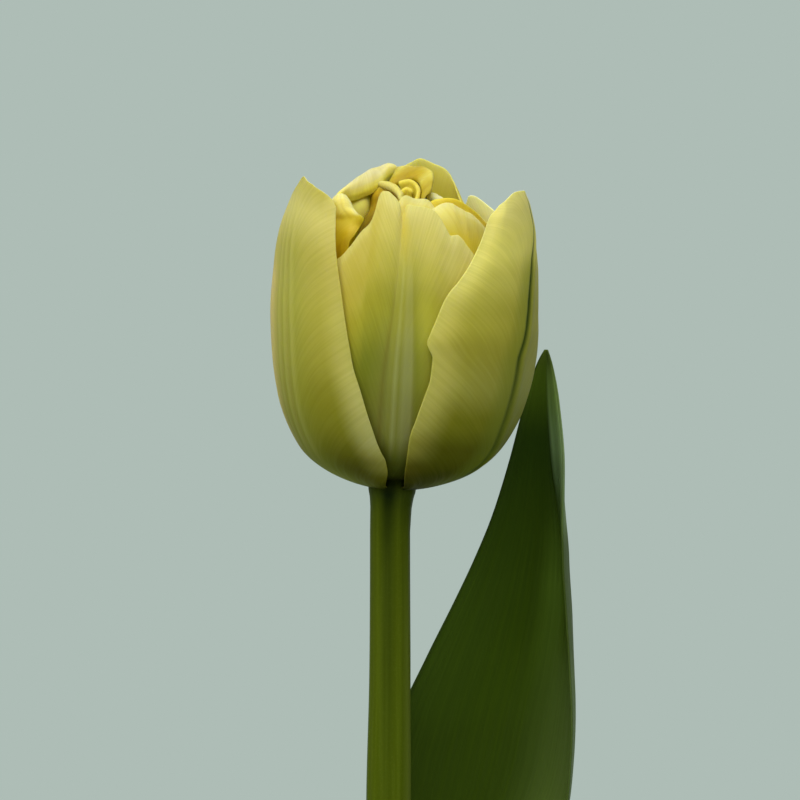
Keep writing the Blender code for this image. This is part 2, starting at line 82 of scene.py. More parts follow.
def waves(u, v, seed, across, along, count=7):  # a smooth random surface, about -1 to 1
    rng = np.random.default_rng(seed)
    total = np.zeros(np.broadcast(u, v).shape)
    for _ in range(count):
        fu = rng.uniform(0.35, 1.0) * across * rng.choice([-1, 1])
        fv = rng.uniform(0.35, 1.0) * along
        height = rng.uniform(0.5, 1.0)
        total = total + height * np.cos(2 * math.pi * (fu * u + fv * v) + rng.uniform(0, 6.28))
    return total / (0.6 * count)


def midlineAt(midline, share):  # height, radius and direction at a share of its length
    points = np.array(midline, float)
    length = np.concatenate([[0], np.cumsum(np.hypot(*np.diff(points, axis=0).T))])
    at = length / length[-1]
    height = np.column_stack([at, points[:, 0]])
    radius = np.column_stack([at, points[:, 1]])
    step = 0.004
    before, after = np.clip(share - step, 0, 1), np.clip(share + step, 0, 1)
    rise = smoothCurve(height, after) - smoothCurve(height, before)
    spread = smoothCurve(radius, after) - smoothCurve(radius, before)
    size = np.hypot(rise, spread)
    return smoothCurve(height, share), smoothCurve(radius, share), rise / size, spread / size, length[-1]


# Meshes

def makeObject(name, verts, faces, material, uvMaps=None, attributes=None):
    mesh = bpy.data.meshes.new(name)
    mesh.from_pydata((np.asarray(verts) * mm).tolist(), [], faces)
    corners = np.empty(len(mesh.loops), dtype=np.int32)
    mesh.loops.foreach_get("vertex_index", corners)
    for uvName, values in (uvMaps or {}).items():
        layer = mesh.uv_layers.new(name=uvName)
        layer.data.foreach_set("uv", np.asarray(values, dtype=np.float32)[corners].ravel())
    for attributeName, values in (attributes or {}).items():
        layer = mesh.attributes.new(attributeName, "FLOAT", "POINT")
        layer.data.foreach_set("value", np.asarray(values, dtype=np.float32).ravel())
    mesh.materials.append(material)
    mesh.shade_smooth()
    mesh.update()
    piece = bpy.data.objects.new(name, mesh)
    bpy.context.scene.collection.objects.link(piece)
    return piece


def declare(piece, node):
    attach(piece, "root")
    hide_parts(node)


def sheetNormals(points):
    du = np.gradient(points, axis=0)
    dv = np.gradient(points, axis=1)
    normal = np.cross(du, dv)
    return normal / np.maximum(np.linalg.norm(normal, axis=-1, keepdims=True), 1e-9)


def quads(index):  # the four corners of each cell of a grid of point numbers
    corners = (index[:-1, :-1], index[1:, :-1], index[1:, 1:], index[:-1, 1:])
    return [tuple(cell) for cell in np.stack([c.ravel() for c in corners], axis=1).tolist()]


def blade(name, points, thickness, material, uvMaps):
    # A closed sheet: an outer face, an inner face and a rounded rim between them.
    nu, nv = points.shape[:2]
    count = nu * nv
    normal = sheetNormals(points)
    half = (thickness / 2)[..., None]
    index = np.arange(count).reshape(nu, nv)
    edge = np.concatenate([index[0, :-1], index[:-1, -1], index[-1, :0:-1], index[:0:-1, 0]])
    inside = index.copy()
    inside[0], inside[-1] = index[1], index[-2]
    inside[:, 0], inside[:, -1] = inside[:, 1], inside[:, -2]
    flat, flatNormal, flatHalf = points.reshape(-1, 3), normal.reshape(-1, 3), half.reshape(-1, 1)
    away = flat[edge] - flat[inside.ravel()[edge]]
    away = away / np.maximum(np.linalg.norm(away, axis=1, keepdims=True), 1e-9)
    rims = [
        flat[edge] + flatHalf[edge] * (flatNormal[edge] * math.cos(turn) + away * math.sin(turn))
        for turn in np.radians([45, 90, 135])
    ]
    verts = np.concatenate([flat + flatNormal * flatHalf, flat - flatNormal * flatHalf] + rims)
    faces = quads(index) + [cell[::-1] for cell in quads(index + count)]
    size = len(edge)
    rings = [edge] + [2 * count + size * k + np.arange(size) for k in range(3)] + [edge + count]
    around = np.array([np.append(ring, ring[0]) for ring in rings]).T
    faces += quads(around)
    maps = {}
    for key, uv in uvMaps.items():
        uv = uv.reshape(-1, 2)
        maps[key] = np.concatenate([uv, uv] + [uv[edge]] * 3)
    side = np.concatenate([np.ones(count), np.zeros(count)] + [np.full(size, s) for s in (0.8, 0.5, 0.2)])
    return makeObject(name, verts, faces, material, maps, {"outerSide": side})


def ringTurn(sides):
    return 2 * math.pi * np.arange(sides) / sides


def upright(x, z):  # centres x beside the axis, at the heights z
    return np.column_stack([x + 0 * z, 0 * z, z])


def ringsAt(centres, sizes, turn):  # a level ring of points round each centre
    right, back = centres[:, :1] + sizes * np.cos(turn), centres[:, 1:2] + sizes * np.sin(turn)
    return np.stack([right, back, centres[:, 2:] + 0 * turn], axis=-1)


def stack(name, rings, ends, material, uvMaps=None):  # rings of points with a fan at each end
    count, sides = rings.shape[:2]
    verts = np.concatenate([rings.reshape(-1, 3), ends])
    start, end = len(verts) - 2, len(verts) - 1
    last = (count - 1) * sides
    faces = []
    for i in range(sides):
        j = (i + 1) % sides
        faces += [(k + i, k + j, k + sides + j, k + sides + i) for k in range(0, last, sides)]
        faces += [(j, i, start), (last + i, last + j, end)]
    return makeObject(name, verts, faces, material, uvMaps)


def lathe(name, profile, sides, material):  # profile from axis to axis: (radius, height)
    radius, height = np.array(profile, float).T
    centres = upright(0, height)
    rings = ringsAt(centres[1:-1], radius[1:-1, None], ringTurn(sides))
    return stack(name, rings, centres[[0, -1]], material)


def tube(name, rings, material, uv):
    uv = np.concatenate([uv.reshape(-1, 2), [uv[0].mean(0), uv[-1].mean(0)]])
    return stack(name, rings, [rings[0].mean(0), rings[-1].mean(0)], material, {"stalkUV": uv})


# Shader helpers

def paint(red, green, blue):  # a colour as read on a screen, 0 to 255
    screen = (c / 255 for c in (red, green, blue))
    return tuple(((c + 0.055) / 1.055) ** 2.4 if c > 10 / 255 else c / 12.92 for c in screen) + (1.0,)


def tones(*stops):  # a ramp's stops: a position, then a colour as paint takes it
    return [(at, paint(*colour)) for at, *colour in stops]


def tints(*stops):  # a band's stops: a position, a colour and how much of it shows
    return [(at, colour[:3] + (strength,)) for at, colour, strength in stops]


class Nodes:
    def __init__(self, tree):
        self.tree = tree

    def feed(self, socket, value):  # a link where the value is a socket too
        if isinstance(value, bpy.types.NodeSocket):
            self.tree.links.new(value, socket)
        else:
            socket.default_value = value

    def add(self, kind, inputs=None, **settings):
        node = self.tree.nodes.new(kind)
        for key, value in settings.items():
            setattr(node, key, value)
        for key, value in (inputs or {}).items():
            self.feed(node.inputs[key], value)
        return node

    def dress(self, shader, **values):  # underscores stand for the spaces in a socket's name
        for key, value in values.items():
            self.feed(shader.inputs[key.replace("_", " ")], value)

    def group(self, tree, **values):
        return self.add("ShaderNodeGroup", values, node_tree=tree).outputs

    def math(self, operation, a, b=0.0, clamp=False):
        return self.add("ShaderNodeMath", {0: a, 1: b}, operation=operation, use_clamp=clamp).outputs[0]

    def times(self, a, b):
        return self.math("MULTIPLY", a, b)

    def distance(self, value, middle):
        return self.math("ABSOLUTE", self.math("SUBTRACT", value, middle))

    def range(self, value, low, high, toLow=0.0, toHigh=1.0, way="SMOOTHSTEP"):
        inputs = {0: value, 1: low, 2: high, 3: toLow, 4: toHigh}
        return self.add("ShaderNodeMapRange", inputs, interpolation_type=way).outputs[0]

    def mix(self, factor, a, b, blend="MIX"):
        node = self.add("ShaderNodeMix", data_type="RGBA", blend_type=blend)
        for key, value in (("Factor", factor), ("A", a), ("B", b)):
            self.feed([s for s in node.inputs if s.name == key and s.enabled][0], value)
        return [s for s in node.outputs if s.enabled][0]

    def ramp(self, value, stops, easing="EASE"):
        node = self.add("ShaderNodeValToRGB", {0: value})
        elements = node.color_ramp.elements
        node.color_ramp.interpolation = easing
        while len(elements) > 1:
            elements.remove(elements[-1])
        elements[0].position, elements[0].color = stops[0]
        for position, colour in stops[1:]:
            elements.new(position).color = colour
        return node.outputs

    def levels(self, value, points, easing="LINEAR"):  # a plain value read off (position, value) points
        return self.ramp(value, [(at, (level, level, level, 1)) for at, level in points], easing)[0]

    def noise(self, where, scale, detail):
        return self.add("ShaderNodeTexNoise", {"Vector": where, "Scale": scale, "Detail": detail}).outputs[0]

    def spot(self, x, y, z):
        return self.add("ShaderNodeCombineXYZ", {0: x, 1: y, 2: z}).outputs[0]

    def parts(self, vector):
        return self.add("ShaderNodeSeparateXYZ", {0: vector}).outputs

    def uv(self, name):
        return self.parts(self.add("ShaderNodeUVMap", uv_map=name).outputs[0])

    def place(self):
        return self.add("ShaderNodeTexCoord").outputs["Object"]

    def bump(self, height, strength, distance):
        inputs = {"Height": height, "Strength": strength, "Distance": distance}
        return self.add("ShaderNodeBump", inputs).outputs[0]


def newGroup(name, inputs, outputs):
    tree = bpy.data.node_groups.new(name, "ShaderNodeTree")
    for label, default in inputs.items():
        socket = tree.interface.new_socket(name=label, in_out="INPUT", socket_type="NodeSocketFloat")
        socket.default_value = default
    for label in outputs:
        tree.interface.new_socket(name=label, in_out="OUTPUT", socket_type="NodeSocketFloat")
    given, result = tree.nodes.new("NodeGroupInput"), tree.nodes.new("NodeGroupOutput")
    return tree, Nodes(tree), given.outputs, result.inputs


def featherVeins():
    # veinUV holds, in cm, which vein a spot is on and how far along it lies.
    inputs = {"Lines": 14.0, "Stretch": 0.8, "Seed": 0.0}
    tree, n, given, result = newGroup("featherVeins", inputs, ("Veins", "Fine Veins", "Height"))
    vein, rib = n.uv("veinUV"), n.uv("ribUV")
    depth = n.math("ADD", n.times(n.math("SIGN", rib[0]), 3.7), given["Seed"])
    streaks = []
    for times, detail in ((1.0, 2.0), (2.3, 1.0)):
        across = n.times(vein[0], n.times(given["Lines"], times))
        spot = n.spot(across, n.times(vein[1], given["Stretch"]), depth)
        streaks.append(n.range(n.noise(spot, 1.0, detail), 0.32, 0.68))
    n.feed(result["Veins"], streaks[0])
    n.feed(result["Fine Veins"], streaks[1])
    n.feed(result["Height"], n.math("ADD", n.times(streaks[0], 0.6), n.times(streaks[1], 0.4)))
    return tree


def blotches():  # slow changes of tone over a surface, in its own space
    inputs = {"Size": 0.01, "Contrast": 1.0, "Seed": 0.0}
    tree, n, given, result = newGroup("blotches", inputs, ("Tone",))
    shift = n.spot(given["Seed"], 0.0, 0.0)
    moved = n.add("ShaderNodeVectorMath", {0: n.place(), 1: shift}, operation="ADD").outputs[0]
    noise = n.noise(moved, n.math("DIVIDE", 1.0, given["Size"]), 3.0)
    centred = n.times(n.math("SUBTRACT", noise, 0.5), given["Contrast"])
    n.feed(result["Tone"], n.math("ADD", centred, 0.5, clamp=True))
    return tree


featherVeinsGroup = featherVeins()
blotchesGroup = blotches()


def newMaterial(name):
    material = bpy.data.materials.new(name)
    material.use_nodes = True
    return material, Nodes(material.node_tree), material.node_tree.nodes["Principled BSDF"]


def petalMaterial(name, look):
    material, n, shader = newMaterial(name)
    place, rib = n.uv("petalUV"), n.uv("ribUV")
    share = place[1]
    level = share if look["by"] == "share" else n.math("DIVIDE", rib[1], look["reach"])
    away = n.math("ABSOLUTE", n.times(n.math("SUBTRACT", place[0], 0.5), 2.0))
    veins = n.group(featherVeinsGroup, Lines=look["lines"], Stretch=look["stretch"], Seed=look["seed"])
    tone = n.group(blotchesGroup, Size=look["blotchSize"], Contrast=2.0, Seed=look["seed"])

    colour = n.ramp(level, look["outside"])[0]
    flush = look["flush"]
    green = n.times(n.range(n.math("ABSOLUTE", rib[0]), flush["width"], 0.0), flush["depth"])
    colour = n.mix(n.times(green, n.range(share, 1.0, 0.7)), colour, flush["colour"])
    # the margin turns paler: partly the petal's own pale edge, partly a painted highlight along it
    margin = n.times(n.range(away, look["marginFrom"], 1.0), n.range(share, 0.02, 0.2))
    colour = n.mix(n.times(margin, look["marginPale"]), colour, n.ramp(level, look["margin"])[0])
    streak = n.times(veins["Veins"], look["veinDepth"])
    colour = n.mix(streak, colour, look["veinColour"], "MULTIPLY")
    colour = n.mix(n.times(veins["Fine Veins"], look["fineDepth"]), colour, look["fineColour"], "SCREEN")
    colour = n.mix(n.times(tone["Tone"], look["blotchDepth"]), colour, look["blotchColour"], "MULTIPLY")
    for band in look["ribs"]:
        strip = n.ramp(n.range(rib[0], band["from"], band["to"], way="LINEAR"), band["stops"], "LINEAR")
        colour = n.mix(n.times(strip[1], n.levels(share, band["fade"], "EASE")), colour, strip[0])
    # painted shade: the colour darkens towards the petal's base, where the petals crowd round the stem
    foot = [(at, (value, value, value * value, 1)) for at, value in look["foot"]]
    colour = n.mix(1.0, colour, n.ramp(share, foot, "LINEAR")[0], "MULTIPLY")

    inside = n.ramp(level, look["inside"])[0]
    inside = n.mix(n.times(streak, 0.6), inside, look["veinColour"], "MULTIPLY")
    side = n.add("ShaderNodeAttribute", attribute_name="outerSide").outputs["Fac"]
    rough = look["roughness"]
    n.dress(
        shader, Base_Color=n.mix(side, inside, colour),
        Roughness=n.range(veins["Veins"], 0.0, 1.0, rough - 0.05, rough + 0.08),
        Normal=n.bump(veins["Height"], look["bump"], 0.0002), Specular_IOR_Level=look["shine"],
        Subsurface_Weight=look["glow"], Subsurface_Scale=look["glowDepth"],
        Subsurface_Radius=(1.0, 0.85, 0.15),
    )
    return material


# The petals

outerCup = [
    (0.4, 4.9), (1.2, 8.5), (2.6, 12.5), (4.8, 16.2), (7.6, 19.4), (12.0, 22.4), (17.5, 24.7), (26.0, 26.4),
    (35.0, 26.9), (44.0, 26.5), (51.0, 25.5), (57.0, 23.9), (62.0, 22.2),
]  # height above the bloom's base, radius
innerCup = [
    (2.4, 4.5), (3.4, 8.0), (5.2, 12.0), (8.0, 15.6), (12.0, 18.6), (17.0, 20.9), (24.0, 22.9), (33.0, 23.9),
    (42.0, 23.7), (50.0, 22.6), (56.0, 21.0), (61.0, 19.2),
]
thirdRoot = [(4.5, 4.1), (6.0, 7.5), (9.0, 11.4), (13.0, 14.6), (19.0, 17.4), (27.0, 19.4), (36.0, 20.0)]
fourthRoot = [(6.1, 3.7), (7.8, 6.6), (11.0, 9.8), (16.0, 12.8), (23.0, 15.3), (31.0, 16.9), (38.0, 17.3)]
coreRoot = [(7.7, 3.1), (9.6, 5.4), (13.5, 7.6), (20.0, 9.8), (28.0, 11.4), (37.0, 11.8)]


def surfaceLengths(points):  # how far each point is across from the middle and along from the root
    across = np.linalg.norm(np.diff(points, axis=0), axis=-1).cumsum(axis=0)
    across = np.concatenate([np.zeros_like(across[:1]), across])
    along = np.linalg.norm(np.diff(points, axis=1), axis=-1).cumsum(axis=1)
    along = np.concatenate([np.zeros_like(along[:, :1]), along], axis=1)
    return across - across[len(across) // 2], along


sheetForm = {  # beadAt is the rolled edge's middle and half width
    "halfWidth": 14.0, "thinEdge": 0.3, "taper": 2.5, "ribSwell": 0.25, "ribWidth": 2.5, "beadAt": (0.3, 0.8),
}


def buildSheet(petal, points, u, v, fromRib, ribWidth, material):
    across, along = surfaceLengths(points)
    if fromRib is None:
        fromRib = across
    length = along[:, -1:]
    fromTip = (1 - v) * length
    fromMargin = np.minimum((1 - np.abs(u)) * sheetForm["halfWidth"], fromTip) * np.ones_like(along)
    thin = sheetForm["thinEdge"]
    thickness = petal["thick"] * (thin + (1 - thin) * ease(fromMargin, 0.0, sheetForm["taper"]))
    thickness = thickness * (1 + sheetForm["ribSwell"] * hump(fromRib, 0, sheetForm["ribWidth"]))
    thickness = thickness + petal["bead"] * hump(fromTip, *sheetForm["beadAt"])
    steep, width, slope = petal["fan"]
    vein = along - (steep * width * (1 - np.exp(-np.abs(fromRib) / width)) + slope * np.abs(fromRib))
    maps = {
        "petalUV": np.stack([0.5 + 0.5 * u + 0 * v, along / length], axis=-1),
        "ribUV": np.stack([fromRib / ribWidth, (length - along) / 10], axis=-1),
        "veinUV": np.stack([vein / 10, along / 10], axis=-1),
    }
    declare(blade(petal["piece"], points, thickness, material, maps), petal["node"])


# A tepal is a cup's midline turned round the bloom's axis, with margins at given angles.

tepalForm = {  # where along and across a tepal its ridges, sway and curl come in
    "grid": (72, 84), "bead": 0.0, "swell": [(0, 1), (62, 1)], "crowding": 0.35, "ridgeEnd": 0.15,
    "swayWaves": (1.6, 1.5), "swayRise": (0.08, 0.4), "curlFrom": (0.7, 1.15), "curlRise": (0.02, 0.2),
}


def tepalPoints(petal, u, v):  # u runs across and v along
    dense = np.linspace(0, 1, 400)
    rim = np.interp(smoothCurve(petal["rim"], u), midlineAt(petal["midline"], dense)[0], dense)
    share = np.clip(v * rim, 0, 1)
    height, radius = midlineAt(petal["midline"], share)[:2]
    radius = radius * smoothCurve(petal["swell"], height)
    reach = np.where(u < 0, smoothCurve(petal["left"], height), smoothCurve(petal["right"], height))
    turn = np.radians(u * reach)
    fromRib = radius * (turn - np.radians(smoothCurve(petal["ribPath"], height)))
    depth = radius * (1 - np.cos(turn))
    for centre, width, lift, low, high in petal["ridges"]:
        shown = ease(v, low, low + petal["ridgeEnd"]) * (1 - ease(v, high - petal["ridgeEnd"], high))
        depth = depth - lift * hump(fromRib, centre, width) * shown
    sway = waves(u, v, petal["seed"], *petal["swayWaves"]) * ease(v, *petal["swayRise"])
    depth = depth + petal["sway"] * sway
    depth = depth + petal["curl"] * ease(np.abs(u), *petal["curlFrom"]) * ease(v, *petal["curlRise"])
    if "fold" in petal:
        depth = depth + petal["fold"](u, v)
    out, sideways = radius - depth, radius * np.sin(turn)
    facing = math.radians(petal["facing"])
    x = out * math.sin(facing) + sideways * math.cos(facing)
    y = -out * math.cos(facing) + sideways * math.sin(facing)
    return np.stack([x, y, height], axis=-1), fromRib, height


def buildTepal(petal, material):
    columns, rows = petal["grid"]
    even = np.linspace(-1, 1, columns + 1)[:, None]
    u = petal["crowding"] * np.sin(even * math.pi / 2) + (1 - petal["crowding"]) * even
    v = np.linspace(0, 1, rows + 1)[None, :]
    points, fromRib, height = tepalPoints(petal, u, v)
    buildSheet(petal, onBloom(points), u, v, fromRib, smoothCurve(petal["ribWidth"], height), material)


# Three outer tepals

outerLook = {
    "by": "share", "lines": 15.0, "stretch": 0.8, "seed": 1.0,
    # outside: darker and greener towards the base, partly the tepal's own colour and partly painted shade
    # under the bloom
    "outside": tones((0.0, 56, 52, 0), (0.16, 95, 91, 2), (0.36, 155, 151, 44), (0.62, 188, 180, 76),
                     (0.8, 190, 181, 86), (0.92, 206, 197, 116), (1.0, 176, 168, 84)),
    # margin: dark low down as painted shade, pale higher up as a painted highlight over the tepal's own pale
    # edge
    "margin": tones((0.0, 90, 84, 10), (0.12, 122, 112, 20), (0.2, 186, 175, 88), (0.3, 230, 222, 148),
                    (0.45, 226, 217, 136), (0.6, 208, 199, 110), (0.8, 200, 188, 100), (1.0, 206, 196, 120)),
    "marginFrom": 0.68, "marginPale": 0.74,
    # inside: darker towards the base, partly painted shade deep in the cup
    "inside": tones((0.0, 140, 130, 50), (0.4, 210, 198, 92), (0.8, 232, 220, 118), (1.0, 246, 240, 172)),
    "flush": {"width": 9.0, "depth": 0.45, "colour": paint(164, 170, 62)},
    "veinColour": paint(222, 224, 186), "veinDepth": 0.3, "fineColour": paint(60, 58, 16), "fineDepth": 0.2,
    "blotchSize": 0.02, "blotchColour": paint(236, 234, 214), "blotchDepth": 0.8,
    "roughness": 0.6, "bump": 0.1, "shine": 0.04, "glow": 0.5, "glowDepth": 0.0018,
    # foot: painted shade at the tepal's base
    "ribs": [], "foot": [(0.0, 0.2), (0.03, 0.5), (0.06, 0.85), (0.1, 1.0)],
}
khaki, olive = paint(160, 156, 78), paint(150, 150, 72)
cream, mauve = paint(220, 212, 138), paint(168, 152, 98)
# dusk and the band below paint light on the left tepal's left flank: a paler, warmer band that keeps that
# side as bright as its middle
dusk = paint(236, 210, 132)
paintedFlankLight = {
    "from": -18.0, "to": -3.0,
    "fade": [(0.0, 0.2), (0.2, 0.8), (0.7, 0.9), (0.8, 0.2), (1.0, 0.0)],
    "stops": tints((0.0, dusk, 0.0), (0.3, dusk, 0.8), (0.42, dusk, 0.85), (0.68, dusk, 0.8),
                   (1.0, dusk, 0.0)),
}
paleLines = {
    "from": -6.0, "to": 5.0,
    "fade": [(0.0, 0.0), (0.16, 0.15), (0.3, 0.5), (0.8, 0.45), (1.0, 0.0)],
    "stops": tints((0.00, khaki, 0.0), (0.05, khaki, 0.3), (0.14, mauve, 0.45), (0.22, olive, 0.55),
                   (0.27, cream, 0.4), (0.36, mauve, 0.45), (0.42, olive, 0.6), (0.47, cream, 0.35),
                   (0.56, mauve, 0.5), (0.63, olive, 0.7), (0.69, cream, 0.3), (0.80, olive, 0.3),
                   (1.00, khaki, 0.0)),
}
leafGreen, stripeGreen, grey = paint(136, 144, 48), paint(26, 58, 8), paint(158, 158, 98)
greenWash = {
    "from": -6.0, "to": 6.0,
    "fade": [(0.0, 0.0), (0.14, 0.25), (0.27, 0.8), (0.5, 1.0), (0.76, 0.9), (0.86, 0.1), (1.0, 0.0)],
    "stops": tints((0.00, leafGreen, 0.0), (0.20, leafGreen, 0.4), (0.42, leafGreen, 0.65),
                   (0.58, leafGreen, 0.5), (0.70, grey, 0.5), (1.00, grey, 0.4)),
}
greenStripe = {
    "from": -1.5, "to": 1.5,
    "fade": [(0.0, 0.15), (0.2, 0.5), (0.38, 0.52), (0.5, 0.68), (0.58, 0.92), (0.7, 1.0), (0.93, 0.9),
             (1.0, 0.2)],
    "stops": tints((0.00, stripeGreen, 0.0), (0.15, stripeGreen, 0.35), (0.34, stripeGreen, 0.8),
                   (0.50, stripeGreen, 0.97), (0.66, stripeGreen, 0.7), (0.85, stripeGreen, 0.1),
                   (1.00, stripeGreen, 0.0)),
}
outerShared = {
    **tepalForm, "slot": "outer_tepal", "midline": outerCup, "thick": 0.75, "fan": (3.2, 3.0, 0.8),
    "sway": 0.15, "curl": 1.3, "ribWidth": [(0, 1.2), (30, 1.1), (62, 0.8)],
}
outerLeft = {
    **outerShared, "piece": "outerTepalLeft", "node": "outer_tepal_left", "seed": 11, "facing": -62.0,
    "swell": [(0, 0.92), (1.5, 0.94), (5, 0.981), (10, 0.962), (23, 0.955), (29, 0.962), (37, 0.973),
              (43, 0.977), (50, 0.986), (56, 0.975), (62, 0.962)],
    "left": [(0.4, 50), (10, 50), (25, 48), (40, 46), (50, 42), (60, 36)],
    "right": [(0.4, 49), (2, 52.5), (4.8, 54.5), (7.2, 53.8), (8.6, 51.8), (10.6, 49.7), (13.6, 47.4),
              (17.6, 44.4), (21.6, 41.6), (25.6, 38.4), (29.3, 36.6), (38.9, 31.8), (47, 27.1), (53, 23.7),
              (57, 20.6), (62, 17)],
    "rim": [(-1, 54.2), (-0.8, 58.4), (-0.67, 60.3), (-0.57, 61.1), (-0.48, 61.3), (-0.36, 61.1),
            (-0.2, 60.6), (0.15, 60.0), (0.45, 59.5), (0.75, 58.8), (0.92, 57.8), (1, 56.4)],
    "ribPath": [(0, 2), (30, 2), (50, -3), (61, -12)],
    "ridges": [(-3.4, 0.8, 0.03, 0.05, 1.0), (-1.2, 0.8, 0.03, 0.05, 1.0), (1.3, 0.8, 0.04, 0.05, 1.0)],
}
outerRight = {
    **outerShared, "piece": "outerTepalRight", "node": "outer_tepal_right", "seed": 23, "facing": 66.0,
    "swell": [(0, 0.92), (1.5, 0.94), (5, 1.0), (10, 1.01), (28, 1.01), (32, 1.003), (37, 0.989),
              (43, 0.987), (50, 0.987), (55, 0.998), (62, 1.01)],
    "left": [(0.4, 43), (2, 51), (5.5, 55), (8.8, 56.2), (12, 56.6), (16.2, 54.8), (20.3, 52.7),
             (24.6, 50.6), (28.8, 50.4), (30.6, 52.4), (31.7, 53.2), (33.3, 52.2), (36.3, 49.7),
             (39.7, 46.9), (41.6, 44.5), (43.7, 40.6), (46.9, 35.3), (51.4, 28.9), (55.7, 23.4),
             (58.6, 17.5), (62, 14.5)],
    "right": [(0.4, 50), (10, 54), (25, 54), (40, 52), (50, 46), (60, 36)],
    "rim": [(-1, 56.8), (-0.9, 58.6), (-0.55, 60.1), (-0.2, 60.9), (0.15, 61.2), (0.5, 61.0), (0.75, 60),
            (1, 56)],
    "ribPath": [(0, 2), (10, -3), (16, -6.6), (23.6, -6.8), (28.2, -6.6), (32.2, -2.6), (35.6, 0.3),
                (43.1, 3.5), (47.6, 6.5), (51.6, 13), (55, 17), (61, 16)],
    "ridges": [(0.0, 0.6, -0.3, 0.1, 1.0), (-1.6, 0.8, 0.15, 0.05, 1.0), (1.8, 1.2, 0.25, 0.05, 1.0)],
}
backMargin = [(0.4, 48), (10, 49), (25, 49), (40, 46), (50, 42), (58, 34)]
outerBack = {
    **outerShared, "piece": "outerTepalBack", "node": "outer_tepal_back", "seed": 37, "facing": 183.0,
    "left": backMargin, "right": backMargin,
    "rim": [(-1, 47), (-0.63, 53.2), (-0.2, 57.6), (0.1, 59.2), (0.5, 57.5), (1, 50)],
    "ribPath": [(0, 0), (60, 2)],
    "ridges": [(-1.4, 0.8, 0.14, 0.05, 1.0), (0.0, 0.8, -0.2, 0.1, 1.0), (1.4, 0.8, 0.14, 0.05, 1.0)],
}
outerLinesMaterial = petalMaterial("outerTepalLines", {**outerLook, "ribs": [paintedFlankLight, paleLines]})
outerStripeMaterial = petalMaterial("outerTepalStripe", {
    **outerLook, "ribs": [greenWash, greenStripe], "seed": 5.0, "marginFrom": 0.7,
    "flush": {"width": 8.0, "depth": 0.35, "colour": paint(124, 130, 36)},
    # outside: darker towards the base, partly its own colour and partly painted shade; the pale stops high
    # up, near 0.85, are painted light where the tepal curves away
    "outside": tones((0.0, 38, 36, 0), (0.15, 72, 70, 0), (0.27, 106, 104, 12), (0.36, 142, 140, 34),
                     (0.47, 180, 176, 82), (0.575, 173, 167, 64), (0.66, 187, 180, 72), (0.77, 213, 205, 98),
                     (0.85, 234, 226, 120), (1.0, 228, 218, 130)),
    # margin: dark low down as painted shade, pale above as a painted highlight over the tepal's own pale edge
    "margin": tones((0.0, 62, 58, 2), (0.12, 84, 76, 6), (0.2, 107, 98, 18), (0.28, 180, 172, 82),
                    (0.36, 213, 204, 116), (0.6, 216, 206, 114), (0.8, 224, 215, 128), (1.0, 214, 204, 118)),
})
buildTepal(outerLeft, outerLinesMaterial)
buildTepal(outerRight, outerStripeMaterial)
buildTepal(outerBack, outerStripeMaterial)
print("outer tepals done")


# Three inner tepals

crease = {"at": -0.046, "parts": [(0.6, 0.045, 0.7, 1.0), (0.2, 0.03, 0.4, 0.7)]}  # depth, width, from, to


def frontCrease(u, v):  # between the front tepal's two lobes
    return sum(
        depth * hump(u, crease["at"], width) * ease(v, start, end)
        for depth, width, start, end in crease["parts"]
    )


frontLook = {
    **outerLook, "seed": 9.0, "lines": 13.0, "stretch": 0.6, "veinDepth": 0.26, "fineDepth": 0.3,
    "veinColour": paint(206, 208, 150),
    # outside: darker towards the base, partly the tepal's own greener base and partly painted shade
    "outside": tones((0.0, 60, 60, 0), (0.17, 90, 90, 10), (0.27, 132, 128, 42), (0.48, 130, 136, 38),
                     (0.68, 177, 171, 56), (0.8, 201, 193, 92), (0.9, 214, 205, 116), (1.0, 219, 211, 138)),
    # margin: dark low down as painted shade, pale higher up as a painted highlight over its own pale edge
    "margin": tones((0.0, 70, 64, 0), (0.5, 146, 134, 24), (0.68, 176, 156, 26), (0.82, 204, 186, 66),
                    (0.93, 220, 210, 122), (1.0, 226, 217, 134)),
    "marginFrom": 0.3, "marginPale": 0.7,
    "flush": {"width": 7.0, "depth": 0.5, "colour": paint(146, 152, 54)},
    # foot: painted shade at the tepal's base
    "foot": [(0.0, 0.08), (0.06, 0.22), (0.115, 0.34), (0.164, 0.54), (0.21, 0.78), (0.28, 1.0)],
}
umber, paleGreen, greyGreen = paint(132, 114, 60), paint(190, 188, 124), paint(158, 156, 84)
frontRib = {
    "from": -3.0, "to": 3.0,
    "fade": [(0.0, 0.0), (0.12, 0.05), (0.3, 0.7), (0.5, 0.65), (0.72, 0.35), (0.9, 0.06), (1.0, 0.0)],
    "stops": tints((0.00, greyGreen, 0.0), (0.20, greyGreen, 0.3), (0.27, umber, 0.65),
                   (0.32, greyGreen, 0.6), (0.42, greyGreen, 0.6), (0.47, paleGreen, 0.7),
                   (0.53, greyGreen, 0.6), (0.60, paleGreen, 0.75), (0.72, paleGreen, 0.7),
                   (0.76, greyGreen, 0.6), (0.82, leafGreen, 0.4), (1.00, greyGreen, 0.0)),
}
strawGold, sunlit = paint(184, 166, 50), paint(196, 192, 72)
# painted shade: a golden tone on the front tepal's upper left, beside the overlapping left tepal's edge
paintedSideShade = {
    "from": -10.0, "to": -1.0,
    "fade": [(0.0, 0.0), (0.62, 0.0), (0.71, 0.6), (0.78, 1.0), (0.93, 0.9), (1.0, 0.6)],
    "stops": tints((0.0, strawGold, 0.64), (0.3, strawGold, 0.5), (0.5, strawGold, 0.18),
                   (1.0, strawGold, 0.08)),
}
